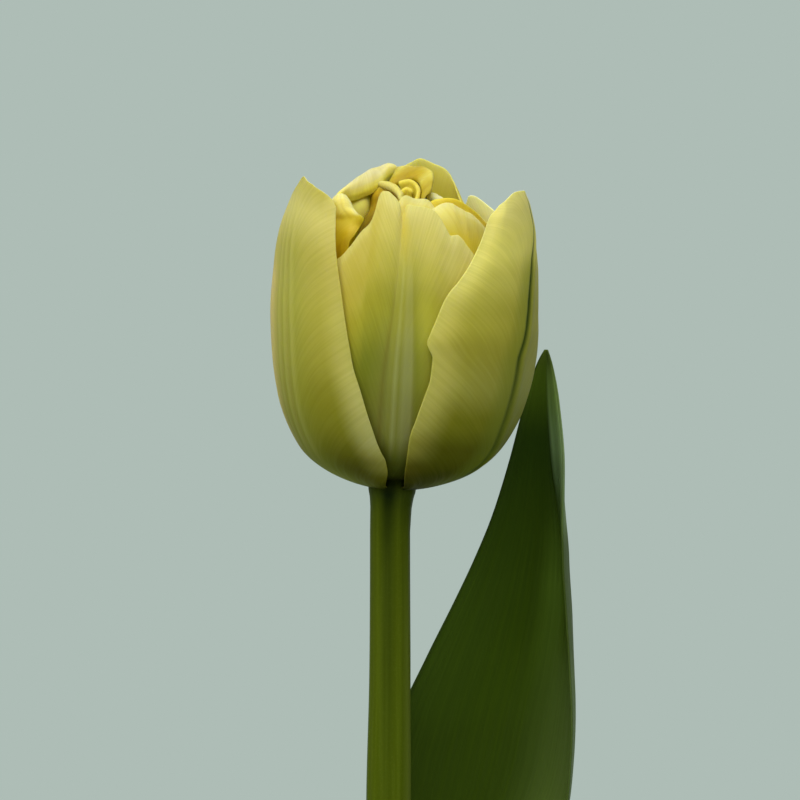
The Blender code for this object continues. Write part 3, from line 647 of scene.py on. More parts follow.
# painted shade: a golden line down the crease between the front tepal's two lobes, near the top
creaseShadeColour = paint(206, 182, 34)
paintedCreaseShade = {
    "from": -1.3, "to": 2.2,
    "fade": [(0.0, 0.0), (0.8, 0.0), (0.88, 0.6), (0.93, 1.0), (1.0, 1.0)],
    "stops": tints((0.0, creaseShadeColour, 0.0), (0.3, creaseShadeColour, 0.42), (0.5, creaseShadeColour, 0.4),
                   (1.0, creaseShadeColour, 0.0)),
}
sunlitSide = {
    "from": 1.0, "to": 8.0,
    "fade": [(0.0, 0.0), (0.24, 0.0), (0.31, 1.0), (0.68, 0.9), (0.77, 0.15), (0.85, 0.0)],
    "stops": tints((0.0, sunlit, 0.0), (0.09, sunlit, 0.1), (0.17, sunlit, 0.35), (0.29, sunlit, 0.6),
                   (1.0, sunlit, 0.55)),
}
innerShared = {
    **tepalForm, "slot": "inner_tepal", "midline": innerCup, "thick": 0.7,
    "fan": (4.0, 3.0, 1.9), "sway": 0.2, "curl": 0.0,
    "ribWidth": [(0, 2.2), (21, 2.1), (44, 1.05), (58, 0.6)],
}
innerMargin = [(2.4, 50), (10, 55), (30, 56), (61, 50)]
frontMargin = [(2.4, 50), (10, 54), (30, 54), (61, 54)]
innerFront = {
    **innerShared, "piece": "innerTepalFront", "node": "inner_tepal_front", "seed": 41, "facing": -1.0,
    "grid": (150, 84),
    "left": frontMargin, "right": frontMargin,
    "rim": [(-1, 43), (-0.63, 46.6), (-0.53, 49), (-0.435, 52.2), (-0.36, 54), (-0.335, 55.8),
            (-0.325, 57.6), (-0.31, 59.6), (-0.278, 60.3), (-0.22, 60.3), (-0.18, 59.8), (-0.12, 58.9),
            (-0.083, 57.8), (-0.06, 56.2), (-0.045, 55.4), (-0.03, 56.8), (-0.015, 57.9), (0.01, 58.0),
            (0.083, 57.8), (0.167, 57.7), (0.25, 57.3), (0.315, 56.2), (0.36, 54.8), (0.4, 53.3),
            (0.43, 52.4), (0.46, 52.5), (0.5, 52.6), (0.54, 52.1), (0.61, 50.3), (0.685, 48.6), (1, 42)],
    "ribPath": [(0, 0), (21, 0), (44, 0.7), (51, -0.5), (57, -2.5)],
    "ridges": [(-1.9, 0.5, -0.2, 0.1, 0.9), (0.6, 1.4, 0.25, 0.05, 0.85), (-5.5, 1.8, 0.25, 0.4, 1.0),
               (6.0, 2.2, 0.25, 0.4, 1.0)],
    "fold": frontCrease,
}
innerRight = {
    **innerShared, "piece": "innerTepalRight", "node": "inner_tepal_right", "seed": 43, "facing": 121.0,
    "left": innerMargin, "right": innerMargin,
    "rim": [(-1, 47), (-0.4, 51), (0, 54.6), (0.075, 55.6), (0.19, 56.8), (0.3, 57.9), (0.38, 58.4),
            (0.44, 58.3), (0.49, 56.8), (0.55, 53.6), (0.7, 51), (1, 47)],
    "ribPath": [(0, 0), (60, 4)],
    "ridges": [(0.0, 1.4, 0.3, 0.05, 0.9)],
}
innerLeft = {
    **innerShared, "piece": "innerTepalLeft", "node": "inner_tepal_left", "seed": 47, "facing": -122.0,
    "left": innerMargin, "right": innerMargin,
    "rim": [(-1, 47), (-0.4, 52), (0.1, 54.5), (0.5, 52), (1, 46)],
    "ribPath": [(0, 0), (60, -4)],
    "ridges": [(0.0, 1.4, 0.3, 0.05, 0.9)],
}
innerTepalMaterial = petalMaterial("innerTepal", {**frontLook, "ribs": [frontRib]})
frontBands = [paintedSideShade, sunlitSide, frontRib, paintedCreaseShade]
buildTepal(innerFront, petalMaterial("frontTepal", {**frontLook, "ribs": frontBands}))
buildTepal(innerRight, innerTepalMaterial)
buildTepal(innerLeft, innerTepalMaterial)
print("inner tepals done")


# The crumpled yellow petals inside. Each is a sheet through rows of points,
# in mm from the bloom's base with z upright, on a root that fans out from the axis.

def splineThrough(points, knots, at):
    shape = (-1,) + (1,) * (points.ndim - 1)
    gap = np.diff(knots).reshape(shape)
    slope = np.diff(points, axis=0) / gap
    inner = (slope[:-1] * gap[1:] + slope[1:] * gap[:-1]) / (gap[:-1] + gap[1:])
    tangent = np.concatenate([slope[:1], inner, slope[-1:]])
    i = np.clip(np.searchsorted(knots, at, side="right") - 1, 0, len(knots) - 2)
    return between(points, tangent, i, (at - knots[i]).reshape(shape) / gap[i], gap[i])


def knotsOf(points):  # spaced by the root of the mean distance, which keeps tight bends round
    distance = np.linalg.norm(np.diff(points, axis=0), axis=-1).reshape(len(points) - 1, -1).mean(axis=1)
    return np.concatenate([[0], np.cumsum(np.sqrt(distance))])


crumpledForm = {  # a wave is how many times across, how many times along, and how many are added up
    "slot": "yellow_petal", "thick": 0.6, "fan": (2.5, 3.0, 1.2), "rootRows": 6, "columnsPerPoint": 10,
    "crumpleWaves": (3.2, 2.6, 9), "crumpleRise": (0.35, 0.7),
    "fluteWaves": (7.0, 0.7, 9), "fluteRise": (0.5, 0.95), "fluteStretch": 0.6, "fluteSeed": 9,
}


def rootRows(petal, columns):
    share = np.linspace(0, 1, petal["rootRows"])
    root = np.array(petal["root"], float)
    at = np.linspace(0, 1, len(root))
    height, radius = (smoothCurve(np.column_stack([at, root[:, k]]), share) for k in (0, 1))
    turn = np.radians(petal["facing"] - 90 + petal["half"] * np.linspace(-1, 1, columns))
    return ringsAt(upright(0, height), radius[:, None], turn) @ bloomTurn.T


def buildCrumpled(petal, material):
    petal = {**crumpledForm, **petal}
    rows = [np.array(row, float) for row in petal["rows"]]
    if "lip" in petal:  # the margin rolls over from the last row to the lip and tucks in under it
        lip = np.array(petal["lip"], float)
        rows += [(rows[-1] + lip) / 2 + petal["bulge"], lip, lip + petal["tuck"]]
    rows = np.concatenate([rootRows(petal, len(rows[0])), np.array(rows)])
    columns = petal["columnsPerPoint"] * (len(rows[0]) - 1)
    u = np.linspace(-1, 1, columns + 1)
    v = np.linspace(0, 1, petal["steps"] + 1)
    knots = knotsOf(rows)
    along = splineThrough(rows, knots, v * knots[-1])
    knots = knotsOf(along.transpose(1, 0, 2))
    points = splineThrough(along.transpose(1, 0, 2), knots, (u + 1) / 2 * knots[-1])
    u, v = u[:, None], v[None, :]
    crumple = waves(u, v, petal["seed"], *petal["crumpleWaves"]) * ease(v, *petal["crumpleRise"])
    flute = waves(u, v * petal["fluteStretch"], petal["seed"] + petal["fluteSeed"], *petal["fluteWaves"])
    wrinkle = petal["crumple"] * crumple + petal["flute"] * flute * ease(v, *petal["fluteRise"])
    points = points + sheetNormals(points) * wrinkle[..., None]
    buildSheet(petal, points + bloomBase, u, v, None, 1.0, material)


yellowLook = {
    **outerLook, "by": "depth", "reach": 3.0, "seed": 14.0, "lines": 9.0, "stretch": 0.8,
    # by depth from the margin: pale at the margin and golden, darker deeper in; partly the petals' own
    # colour, partly painted shade inside the bloom
    "outside": tones((0.0, 226, 217, 142), (0.08, 222, 211, 118), (0.25, 236, 218, 82), (0.5, 235, 213, 54),
                     (0.8, 204, 182, 40), (1.0, 180, 164, 44)),
    "margin": tones((0.0, 244, 234, 156), (0.3, 232, 212, 90), (1.0, 190, 170, 60)),
    "marginFrom": 0.85, "marginPale": 0.3,
    "inside": tones((0.0, 240, 230, 146), (0.08, 234, 218, 110), (0.25, 222, 196, 60), (0.5, 206, 176, 32),
                    (1.0, 170, 150, 30)),
    "flush": {"width": 5.0, "depth": 0.1, "colour": paint(190, 190, 80)},
    "veinColour": paint(232, 224, 176), "veinDepth": 0.25, "fineColour": paint(60, 56, 24), "fineDepth": 0.2,
    "blotchSize": 0.012, "blotchColour": paint(240, 230, 200), "blotchDepth": 0.8,
    "roughness": 0.5, "bump": 0.08, "shine": 0.2, "glow": 0.7, "glowDepth": 0.0025,
}
goldenLook = {
    **yellowLook, "seed": 17.0,
    # golden is the petal's own colour; the darkening deeper in, inside most, is painted shade inside the
    # bloom
    "outside": tones((0.0, 212, 190, 54), (0.1, 216, 196, 54), (0.3, 214, 187, 28), (1.0, 170, 152, 30)),
    "inside": tones((0.0, 214, 198, 80), (0.05, 208, 186, 54), (0.12, 192, 164, 22), (0.2, 182, 152, 12),
                    (1.0, 156, 130, 6)),
    "margin": tones((0.0, 212, 192, 66), (1.0, 190, 170, 60)),
}
curlLook = {
    **goldenLook, "seed": 29.0,
    # the darker, golden tone deeper in is painted shade in the curl's pit
    "outside": tones((0.0, 200, 184, 78), (0.1, 204, 184, 56), (0.3, 204, 178, 30), (1.0, 170, 152, 30)),
    "inside": tones((0.0, 211, 194, 76), (0.05, 212, 190, 50), (0.12, 206, 180, 28), (0.2, 198, 170, 14),
                    (1.0, 160, 134, 8)),
    "margin": tones((0.0, 204, 188, 82), (1.0, 190, 170, 60)),
}
rollEdge, rollHighlight, rollFoldShade = paint(158, 142, 36), paint(200, 190, 88), paint(158, 132, 4)
rollLightAndShade = {  # painted light and shade: a pale streak of painted highlight near the roll's right end, painted shade deeper in its fold on the left, and a darker tone at the very end
    "from": -7.5, "to": 6.5,
    "fade": [(0.0, 0.0), (0.87, 0.0), (0.91, 1.0), (0.97, 0.9), (1.0, 0.3)],
    "stops": tints((0.0, rollEdge, 0.6), (0.24, rollEdge, 0.5), (0.32, rollHighlight, 0.2),
                   (0.42, rollHighlight, 0.75), (0.52, rollHighlight, 0.2), (0.58, rollFoldShade, 0.0),
                   (0.72, rollFoldShade, 0.75), (0.9, rollFoldShade, 0.5), (1.0, rollFoldShade, 0.0)),
}
rollLook = {
    **goldenLook, "seed": 31.0, "ribs": [rollLightAndShade],
    # outside: dark at the rolled margin as painted shade under its lip, pale from 0.15 to 0.22 as a painted
    # highlight on the roll
    "outside": tones((0.0, 178, 154, 12), (0.05, 178, 155, 18), (0.1, 180, 160, 34), (0.15, 194, 180, 74),
                     (0.22, 204, 195, 106), (0.35, 190, 175, 50), (1.0, 170, 152, 30)),
    "margin": tones((0.0, 176, 150, 22), (1.0, 190, 170, 60)),
}
strandLook = {
    **yellowLook, "seed": 37.0,
    # outside: pale at the margin, then dark deeper in as painted shade in the valley where the strand lies
    "outside": tones((0.0, 190, 170, 60), (0.06, 206, 192, 92), (0.1, 206, 190, 84), (0.15, 180, 154, 30),
                     (0.22, 150, 124, 12), (0.4, 120, 98, 4), (1.0, 100, 82, 4)),
    "margin": tones((0.0, 200, 180, 70), (1.0, 150, 130, 30)),
    "inside": tones((0.0, 198, 188, 108), (0.1, 197, 184, 92), (0.2, 190, 168, 50), (1.0, 150, 130, 20)),
}
sideLook = {
    **yellowLook, "seed": 41.0, "marginFrom": 0.72, "marginPale": 0.9,
    # pale at the top and golden lower down: painted light on the top, painted shade where the petal sinks
    # between the tepals
    "outside": tones((0.0, 224, 215, 142), (0.1, 222, 208, 110), (0.2, 222, 199, 62), (0.32, 206, 179, 30),
                     (0.45, 196, 166, 16), (1.0, 170, 150, 20)),
    "margin": tones((0.0, 228, 218, 140), (0.17, 232, 221, 142), (0.21, 214, 190, 56), (0.3, 196, 166, 16),
                    (1.0, 170, 150, 20)),
}
paleLook = {
    **yellowLook, "seed": 43.0,
    # paler than the other yellow petals: painted light on a roll that sits in shade
    "outside": tones((0.0, 244, 238, 178), (0.1, 244, 236, 166), (0.3, 226, 208, 90), (1.0, 180, 164, 44)),
    "inside": tones((0.0, 244, 238, 178), (0.1, 244, 236, 160), (0.3, 220, 200, 80), (1.0, 170, 150, 30)),
}
hoodLook = {
    **yellowLook, "seed": 23.0,
    # outside: brightest at the margin, where the rolled lip faces down, as painted light
    "outside": tones((0.0, 252, 238, 90), (0.03, 250, 233, 88), (0.06, 234, 220, 112), (0.09, 222, 213, 146),
                     (0.14, 206, 200, 150), (0.26, 202, 197, 152), (0.4, 200, 188, 96), (1.0, 170, 156, 40)),
    "margin": tones((0.0, 236, 214, 60), (1.0, 190, 170, 60)),
    # inside: brightened as painted light in the shaded recess under the hood
    "inside": tones((0.0, 246, 230, 110), (0.3, 252, 238, 124), (0.6, 246, 230, 104), (1.0, 200, 180, 60)),
}
oliveLook = {
    **yellowLook, "seed": 19.0,
    # olive-yellow: partly the back petal's greener colour, partly painted shade of its shaded inner face
    "outside": tones((0.0, 206, 194, 84), (0.1, 200, 188, 70), (1.0, 170, 158, 40)),
    "margin": tones((0.0, 206, 194, 84), (1.0, 190, 178, 60)),
    "inside": tones((0.0, 208, 196, 112), (0.06, 204, 194, 90), (0.3, 196, 190, 66), (1.0, 170, 160, 44)),
}
thirdLeft = {
    "piece": "thirdPetalLeft", "node": "third_petal_left",
    "root": thirdRoot, "facing": -54.0, "half": 44.0,
    "rows": [
        [(-13.5, 2, 42), (-15, -4, 42), (-13.6, -9, 42), (-11, -12.5, 42), (-8.4, -14.2, 42),
         (-6.4, -15, 42)],
        [(-12.8, 2, 48), (-14.4, -4, 48.5), (-13.2, -8.5, 49), (-11.6, -11.5, 49.2), (-10, -13, 49.3),
         (-8.6, -13.8, 49.4)],
        [(-12.6, 1.5, 50.5), (-14, -4, 51), (-12.8, -8.3, 51.5), (-11, -11.4, 51.7), (-8.8, -13, 51.8),
         (-7.2, -13.4, 51.9)],
        [(-12.4, 1.5, 52.2), (-13.6, -4, 52.8), (-12.4, -8.2, 53.3), (-10.4, -11.2, 53.5), (-8, -12.4, 53.6),
         (-6.1, -12.2, 53.6)],
        [(-12.2, 1.5, 53.5), (-13.2, -4, 54), (-12.2, -8, 54.5), (-10.2, -11, 54.6), (-7.9, -12.2, 54.7),
         (-5.6, -12.4, 54.8)],
        [(-12, 1.2, 54.4), (-12.9, -4, 55), (-12, -8, 55.5), (-10.4, -11, 55.6), (-8.6, -12, 55.7),
         (-6.8, -12.4, 55.8)],
        [(-11.9, 1, 55.4), (-12.7, -4, 56), (-12, -7.6, 56.6), (-11, -10.2, 56.7), (-9.4, -11.4, 56.8),
         (-7.7, -11.2, 56.8)],
        [(-11.8, 1, 56), (-12, -4, 56.8), (-11.7, -7.4, 57.8), (-11.1, -9.6, 58.1), (-9.8, -10.6, 58.2),
         (-8.3, -10.4, 58.1)],
        [(-11.6, 0.8, 56.8), (-11.7, -3.8, 57.6), (-11.1, -6.8, 58.8), (-10.5, -8.6, 59.2),
         (-9.9, -9.2, 59.3), (-9.2, -9.1, 59.0)],
    ],
    "bead": 0.3, "crumple": 0.12, "flute": 0.05, "seed": 61, "steps": 110,
}
thirdRight = {
    "piece": "thirdPetalRight", "node": "third_petal_right",
    "root": thirdRoot, "facing": 38.0, "half": 42.0,
    "rows": [
        [(5.6, -17, 42), (9.4, -17, 42), (13, -15.6, 42), (16.4, -12.6, 42), (19, -8, 42), (20.5, -2, 42)],
        [(6.2, -16.6, 48.8), (9.6, -16.6, 49), (12.6, -15.4, 49), (15.6, -12.8, 49), (18.2, -8.4, 48.6),
         (19.9, -2.4, 47.6)],
        [(6.8, -15.8, 53.6), (9.6, -15.6, 54.4), (12.2, -14.6, 54.4), (14.8, -12.4, 53.6),
         (17.3, -8.5, 52.4), (19.4, -2.8, 50)],
        [(7.6, -15, 56.4), (9.8, -14.2, 57.7), (11.7, -13.2, 57.7), (14, -11.6, 56.3), (16.5, -8.2, 54.7),
         (19, -3, 51.4)],
    ],
    "bead": 0.1, "crumple": 0.12, "flute": 0.05, "seed": 67, "steps": 90,
}
thirdBack = {
    "piece": "thirdPetalBack", "node": "third_petal_back",
    "root": thirdRoot, "facing": 166.0, "half": 48.0,
    "rows": [
        [(20, 6, 42), (19.2, 9, 42), (17.4, 12.2, 42), (14.6, 15, 42), (11, 17.2, 42), (7.6, 18.6, 42),
         (3.6, 19.2, 42), (-1, 18.8, 42), (-6, 17, 42)],
        [(18.2, 6.6, 49), (17.4, 9.4, 49.4), (15.8, 12, 50), (13.2, 14.6, 50.4), (10.2, 16.4, 50.6),
         (7.2, 17.6, 50.8), (4, 18, 50.6), (0, 17.8, 50.4), (-4.6, 16.4, 50)],
        [(15.4, 7.6, 53.4), (14.9, 9.8, 54.8), (13.8, 12, 56.4), (11.6, 14, 57.6), (9.2, 15.4, 58.4),
         (6.8, 16.2, 58.8), (4.2, 16.6, 58.4), (0.8, 16.4, 57.8), (-3.4, 15.2, 57)],
        [(14.2, 8, 55.8), (13.4, 10, 57.8), (12.3, 12, 60.7), (10.9, 13.5, 62.8), (8.6, 14.5, 63.9),
         (5.8, 15, 65.0), (3.6, 15.2, 64.1), (1.2, 15, 62.9), (-2.6, 14, 62.2)],
    ],
    "bead": 0.1, "crumple": 0.15, "flute": 0.05, "seed": 71, "steps": 90,
}
fourthLeft = {
    "piece": "fourthPetalLeft", "node": "fourth_petal_left",
    "root": fourthRoot, "facing": -140.0, "half": 40.0,
    "rows": [
        [(2.4, 16.8, 46), (0, 16.6, 46), (-3, 15.8, 46), (-6, 14.4, 46), (-9, 12, 46), (-11.6, 8.8, 46),
         (-13.4, 4.8, 46), (-14, 0.4, 46)],
        [(1, 12.6, 53), (-0.2, 12.8, 53), (-2, 12.4, 53), (-3.8, 9, 53), (-5.8, 4, 53), (-8.4, 1.8, 53),
         (-11.4, -0.2, 52.8), (-13.4, -2.4, 52)],
        [(1, 11, 57), (0, 11.4, 57), (-1.6, 11.4, 57), (-3.6, 8.4, 57), (-5.6, 3.4, 57), (-8.2, 1.2, 56.6),
         (-11, -0.6, 56), (-12.8, -2.8, 54.6)],
        [(0.8, 9.8, 60), (-0.4, 9.8, 60), (-1.8, 9.6, 60), (-3.8, 8.6, 59.8), (-6, 6.4, 59.4),
         (-8.4, 3.4, 58.6), (-10.6, 0.2, 57.6), (-12.4, -3, 56)],
        [(1.7, 9.7, 62.9), (-0.2, 8.6, 64.0), (-1.8, 7.8, 63.95), (-3.8, 6.8, 63.2), (-6, 5, 62.2),
         (-8.3, 2.2, 60.7), (-10.1, -1, 59.2), (-11.7, -4, 57.2)],
    ],
    "lip": [(1.9, 9.1, 62.2), (-0.4, 6.7, 62.8), (-2.4, 4.6, 61.0), (-4.4, 3.4, 60.0), (-6.4, 1.8, 59.3),
            (-8.4, -0.4, 58.8), (-10.1, -3.2, 58.6), (-11.6, -5.2, 57.0)],
    "bulge": (0, -0.55, 0.55), "tuck": (0.1, 0.15, -1.3),
    "bead": 0.1, "crumple": 0.16, "flute": 0.05, "seed": 73, "steps": 130,
}
fourthFront = {
    "piece": "fourthPetalFront", "node": "fourth_petal_front",
    "root": fourthRoot, "facing": -26.0, "half": 36.0,
    "rows": [
        [(-9.5, -11.5, 42), (-6.5, -14, 42), (-3, -15.6, 42), (0.6, -16.2, 42), (4, -16, 42), (7, -15, 42),
         (9.4, -13.6, 42)],
        [(-8, -11, 46), (-5, -13.4, 47.6), (-2, -14.8, 49.4), (1.2, -15.2, 50.6), (4.2, -15, 50.8),
         (7, -14.2, 50.6), (9.2, -13, 50)],
        [(-7.4, -11, 47.4), (-4.2, -13.2, 49.4), (-1.2, -14.2, 52.6), (1.8, -14.4, 56), (4.4, -14, 56.2),
         (7, -13.2, 56), (9.1, -12.6, 54.6)],
        [(-7, -11, 48.6), (-3.6, -13, 51), (-0.4, -13.8, 55), (2.2, -13.6, 59.1), (4.6, -13, 58.6),
         (7, -12.4, 58.4), (8.6, -12.2, 56.6)],
    ],
    "bead": 0.1, "crumple": 0.06, "flute": 0.02, "seed": 79, "steps": 90,
}
fourthRight = {
    "piece": "fourthPetalRight", "node": "fourth_petal_right",
    "root": fourthRoot, "facing": 66.0, "half": 36.0,
    "rows": [
        [(7, -13.5, 42), (9, -13.4, 42), (12, -12.4, 42), (14.6, -10.4, 42), (16.8, -7.6, 42),
         (18.6, -4, 42), (19.6, 1, 42)],
        [(7.2, -12.6, 50), (8.8, -12.6, 50), (11.4, -12, 50), (13.8, -10.4, 50), (16, -7.8, 49.6),
         (17.9, -4.2, 49), (19.2, 0.6, 48)],
        [(7.2, -11.2, 54.6), (8.5, -11.6, 55.2), (10.7, -11.4, 55.6), (12.9, -10.2, 55.4),
         (15.2, -8.2, 54.4), (17.3, -4.8, 52.6), (19.1, 0.2, 50.6)],
        [(6.9, -10.4, 57.0), (8.2, -10.7, 58.0), (10.4, -10.5, 58.4), (12.4, -9.6, 58.2), (14.4, -8, 57.1),
         (16.8, -5, 55.1), (19, 0, 52.4)],
    ],
    "bead": 0.5, "crumple": 0.1, "flute": 0.04, "seed": 83, "steps": 90,
}
fourthBack = {
    "piece": "fourthPetalBack", "node": "fourth_petal_back",
    "root": fourthRoot, "facing": 144.0, "half": 34.0,
    "rows": [
        [(17, 3, 44), (15.8, 5.6, 44), (14, 8, 44), (12, 10, 44), (10, 11.4, 44), (8, 12.6, 44),
         (5.6, 13.4, 44), (2, 13.8, 44)],
        [(16.8, 2.4, 48), (15, 4.6, 49.6), (12.8, 6.6, 51), (10.6, 7.6, 52), (9, 8.2, 52.6), (7.4, 9, 52.6),
         (5.8, 10, 52), (2.6, 11.6, 51)],
        [(16.8, 2, 50), (14.6, 4, 53), (12, 4.6, 55.8), (9.8, 4.4, 57.6), (8.6, 4.2, 58.3), (7.2, 4.9, 58.4),
         (5.6, 7.6, 57.2), (3, 9.5, 55)],
    ],
    "lip": [(16.8, 1.4, 49.6), (14.4, 2.8, 52.6), (11.9, 3, 55.2), (10.1, 2.7, 56.8), (9, 2.5, 57.4),
            (7.8, 3.3, 57.4), (6, 6.2, 56.8), (3.4, 8.4, 54.6)],
    "bulge": (0, -0.1, 0.25), "tuck": (0, 0.3, -0.6),
    "bead": 0.2, "crumple": 0.1, "flute": 0.05, "seed": 89, "steps": 80,
}
coreBack = {
    "piece": "corePetalBack", "node": "core_petal_back",
    "root": coreRoot, "facing": 150.0, "half": 50.0,
    "rows": [
        [(12.8, 1.5, 46), (12, 4, 46), (11, 6, 46), (9.8, 7.8, 46), (8, 9.2, 46), (5.6, 10.4, 46),
         (2, 11, 46)],
        [(7.2, -1.2, 54.2), (7.4, 1, 55.4), (7.4, 3, 56.2), (6.6, 5.4, 56.8), (5, 7, 57), (3, 9, 57),
         (0.8, 10, 57)],
        [(7, -1.8, 57.2), (7.4, 0.4, 58.6), (7.6, 2.6, 60), (7, 5.2, 61), (5.4, 7, 61.6), (3.4, 8.8, 61.6),
         (1, 9.6, 61.8)],
        [(7.1, -2.2, 58.8), (7.8, 0, 60.2), (8, 2.5, 61.9), (7.6, 5, 63), (6, 7, 63.6), (3.8, 8, 63.7),
         (1.2, 8, 63.9)],
    ],
    "lip": [(6.0, -2.7, 57.4), (6.1, -0.8, 58.7), (5.9, 1.5, 60.3), (5.2, 3.2, 61.3), (3.8, 4.2, 61.6),
            (1.5, 4.3, 60.9), (-0.9, 3.9, 60.2)],
    "bulge": (0.1, -0.1, 0.45), "tuck": (0.6, 0.7, -0.7),
    "bead": 0.1, "crumple": 0.12, "flute": 0.06, "seed": 97, "steps": 120,
}
coreFront = {
    "piece": "corePetalFront", "node": "core_petal_front",
    "root": coreRoot, "facing": 24.0, "half": 60.0,
    "rows": [
        [(4.2, -0.2, 50), (3.4, 0, 50), (2, -0.8, 50), (1.6, -2.2, 50), (3, -4, 50), (5.2, -4.2, 50),
         (6.8, -2.8, 50), (7, -0.6, 50), (6.2, 1, 50), (4.2, 1.8, 50), (2.2, 1.2, 50)],
        [(3.9, 0.3, 57.2), (3.0, 0.3, 57.2), (2.1, -0.6, 56.8), (2.1, -2, 56), (3.1, -3.2, 55.4),
         (4.2, -3.2, 55.4), (4.9, -2.1, 56), (5.1, -0.5, 57), (4.7, 0.8, 57.8), (3.6, 1.4, 58.6),
         (2.0, 1, 58.4)],
        [(3.9, 0.4, 59.4), (2.9, 0.4, 59.8), (1.9, -0.5, 59.2), (1.8, -2.1, 58.2), (2.8, -3.3, 57.4),
         (4.2, -3.3, 57.4), (5.0, -2.2, 58.1), (5.3, -0.5, 59.4), (4.8, 0.9, 60.6), (3.5, 1.6, 61.3),
         (1.6, 1.2, 61.0)],
    ],
    "bead": 0.8, "crumple": 0.1, "flute": 0.04, "seed": 101, "steps": 80,
}
coreLeft = {
    "piece": "corePetalLeft", "node": "core_petal_left",
    "root": coreRoot, "facing": -92.0, "half": 50.0,
    "rows": [
        [(-3.9, 8.5, 46), (-6.4, 6, 46), (-7.8, 2.4, 46), (-8, -1.4, 46), (-6.8, -5, 46), (-4.4, -8, 46)],
        [(-3.4, 6.6, 54), (-4.6, 4.4, 54), (-5, 1.8, 54), (-4.4, -1, 54), (-2.8, -3.6, 54),
         (-0.8, -5.6, 53.6)],
        [(-4.3, 5.2, 57.6), (-3.4, 3.4, 58.1), (-1.5, 1.7, 58.3), (0.3, -0.4, 57.8), (1.2, -2.4, 57.2),
         (1.8, -4.4, 56.4)],
        [(-3.8, 7.0, 60.0), (-2.5, 5.6, 60.7), (-0.6, 2.2, 60.8), (0.8, -0.2, 60.3), (1.7, -2.3, 59.5),
         (2.2, -4.2, 58.4)],
    ],
    "lip": [(-4.0, 6.6, 59.6), (-2.7, 4.9, 60.2), (-1, 1.1, 59.9), (0.4, -1.3, 59.4), (1.3, -3.2, 58.5),
            (1.8, -4.9, 57.3)],
    "bulge": (-0.3, -0.3, 0.3), "tuck": (0.5, 0.5, -0.2),
    "bead": 0.1, "crumple": 0.06, "flute": 0.04, "seed": 103, "steps": 100,
}
yellowMaterial = petalMaterial("yellowPetal", yellowLook)
for petal, material in (
    (thirdLeft, petalMaterial("sidePetal", sideLook)),
    (thirdRight, yellowMaterial),
    (thirdBack, petalMaterial("oliveYellowPetal", oliveLook)),
    (fourthLeft, petalMaterial("hoodPetal", hoodLook)),
    (fourthFront, yellowMaterial),
    (fourthRight, petalMaterial("goldenPetal", goldenLook)),
    (fourthBack, petalMaterial("palePetal", paleLook)),
    (coreBack, petalMaterial("rolledPetal", rollLook)),
    (coreFront, petalMaterial("curledPetal", curlLook)),
    (coreLeft, petalMaterial("strandPetal", strandLook)),
):
    buildCrumpled(petal, material)
print("yellow petals done")


# Pistil and stamens

pistilShape = {  # profiles up the pistil: height and radius, or distance from the axis
    "ovary": [(8.9, 1.9), (11.0, 2.5), (16.0, 2.9), (23.0, 2.9), (28.0, 2.3), (29.4, 2.6), (30.6, 3.5),
              (31.6, 3.2)],
    "lobeDepth": 0.22, "lobesFrom": 27.5, "lobesFull": 30.0,
    "filament": [(9.8, 1.6), (11.5, 3.4), (15.0, 4.2), (20.0, 4.5)], "filamentRadius": 0.5,
    "anther": [(19.0, 0.5), (20.2, 1.0), (26.8, 1.0), (28.0, 0.4)], "antherAway": 4.5,
    "stamens": 6, "colours": (paint(170, 178, 80), paint(206, 200, 110)),
}


def upProfile(profile, rows):
    height = np.linspace(profile[0][0], profile[-1][0], rows)
    return height, smoothCurve(profile, height)


def stalkUvs(rings):
    count, sides = rings.shape[:2]
    along, around = np.meshgrid(np.linspace(0, 1, count), np.arange(sides) / sides, indexing="ij")
    return np.stack([around, along], axis=-1)


def buildPistil():
    material, n, shader = newMaterial("pistil")
    tone = n.group(blotchesGroup, Size=0.002)["Tone"]
    n.dress(shader, Base_Color=n.mix(tone, *pistilShape["colours"]), Roughness=0.55,
            Subsurface_Weight=0.3, Subsurface_Radius=(0.8, 0.8, 0.3), Subsurface_Scale=0.001)
    height, radius = upProfile(pistilShape["ovary"], 70)
    turn = ringTurn(36)
    lobes = pistilShape["lobeDepth"] * ease(height, pistilShape["lobesFrom"], pistilShape["lobesFull"])
    sizes = radius[:, None] * (1 + lobes[:, None] * np.cos(3 * turn))
    pieces = [ringsAt(upright(0, height), sizes, turn)]
    for turned in ringTurn(pistilShape["stamens"]) + math.pi / pistilShape["stamens"]:
        spin = np.array(Matrix.Rotation(turned, 3, "Z"))
        height, away = upProfile(pistilShape["filament"], 24)
        pieces.append(ringsAt(upright(away, height), pistilShape["filamentRadius"], ringTurn(12)) @ spin.T)
        height, radius = upProfile(pistilShape["anther"], 24)
        centres = upright(pistilShape["antherAway"], height)
        pieces.append(ringsAt(centres, radius[:, None], ringTurn(16)) @ spin.T)
    parts = [tube("pistilPart", onBloom(rings), material, stalkUvs(rings)) for rings in pieces]
    with bpy.context.temp_override(active_object=parts[0], selected_editable_objects=parts):
        bpy.ops.object.join()
    parts[0].name = "pistilWithStamens"
    declare(parts[0], "pistil")


buildPistil()
print("pistil done")


# The stem

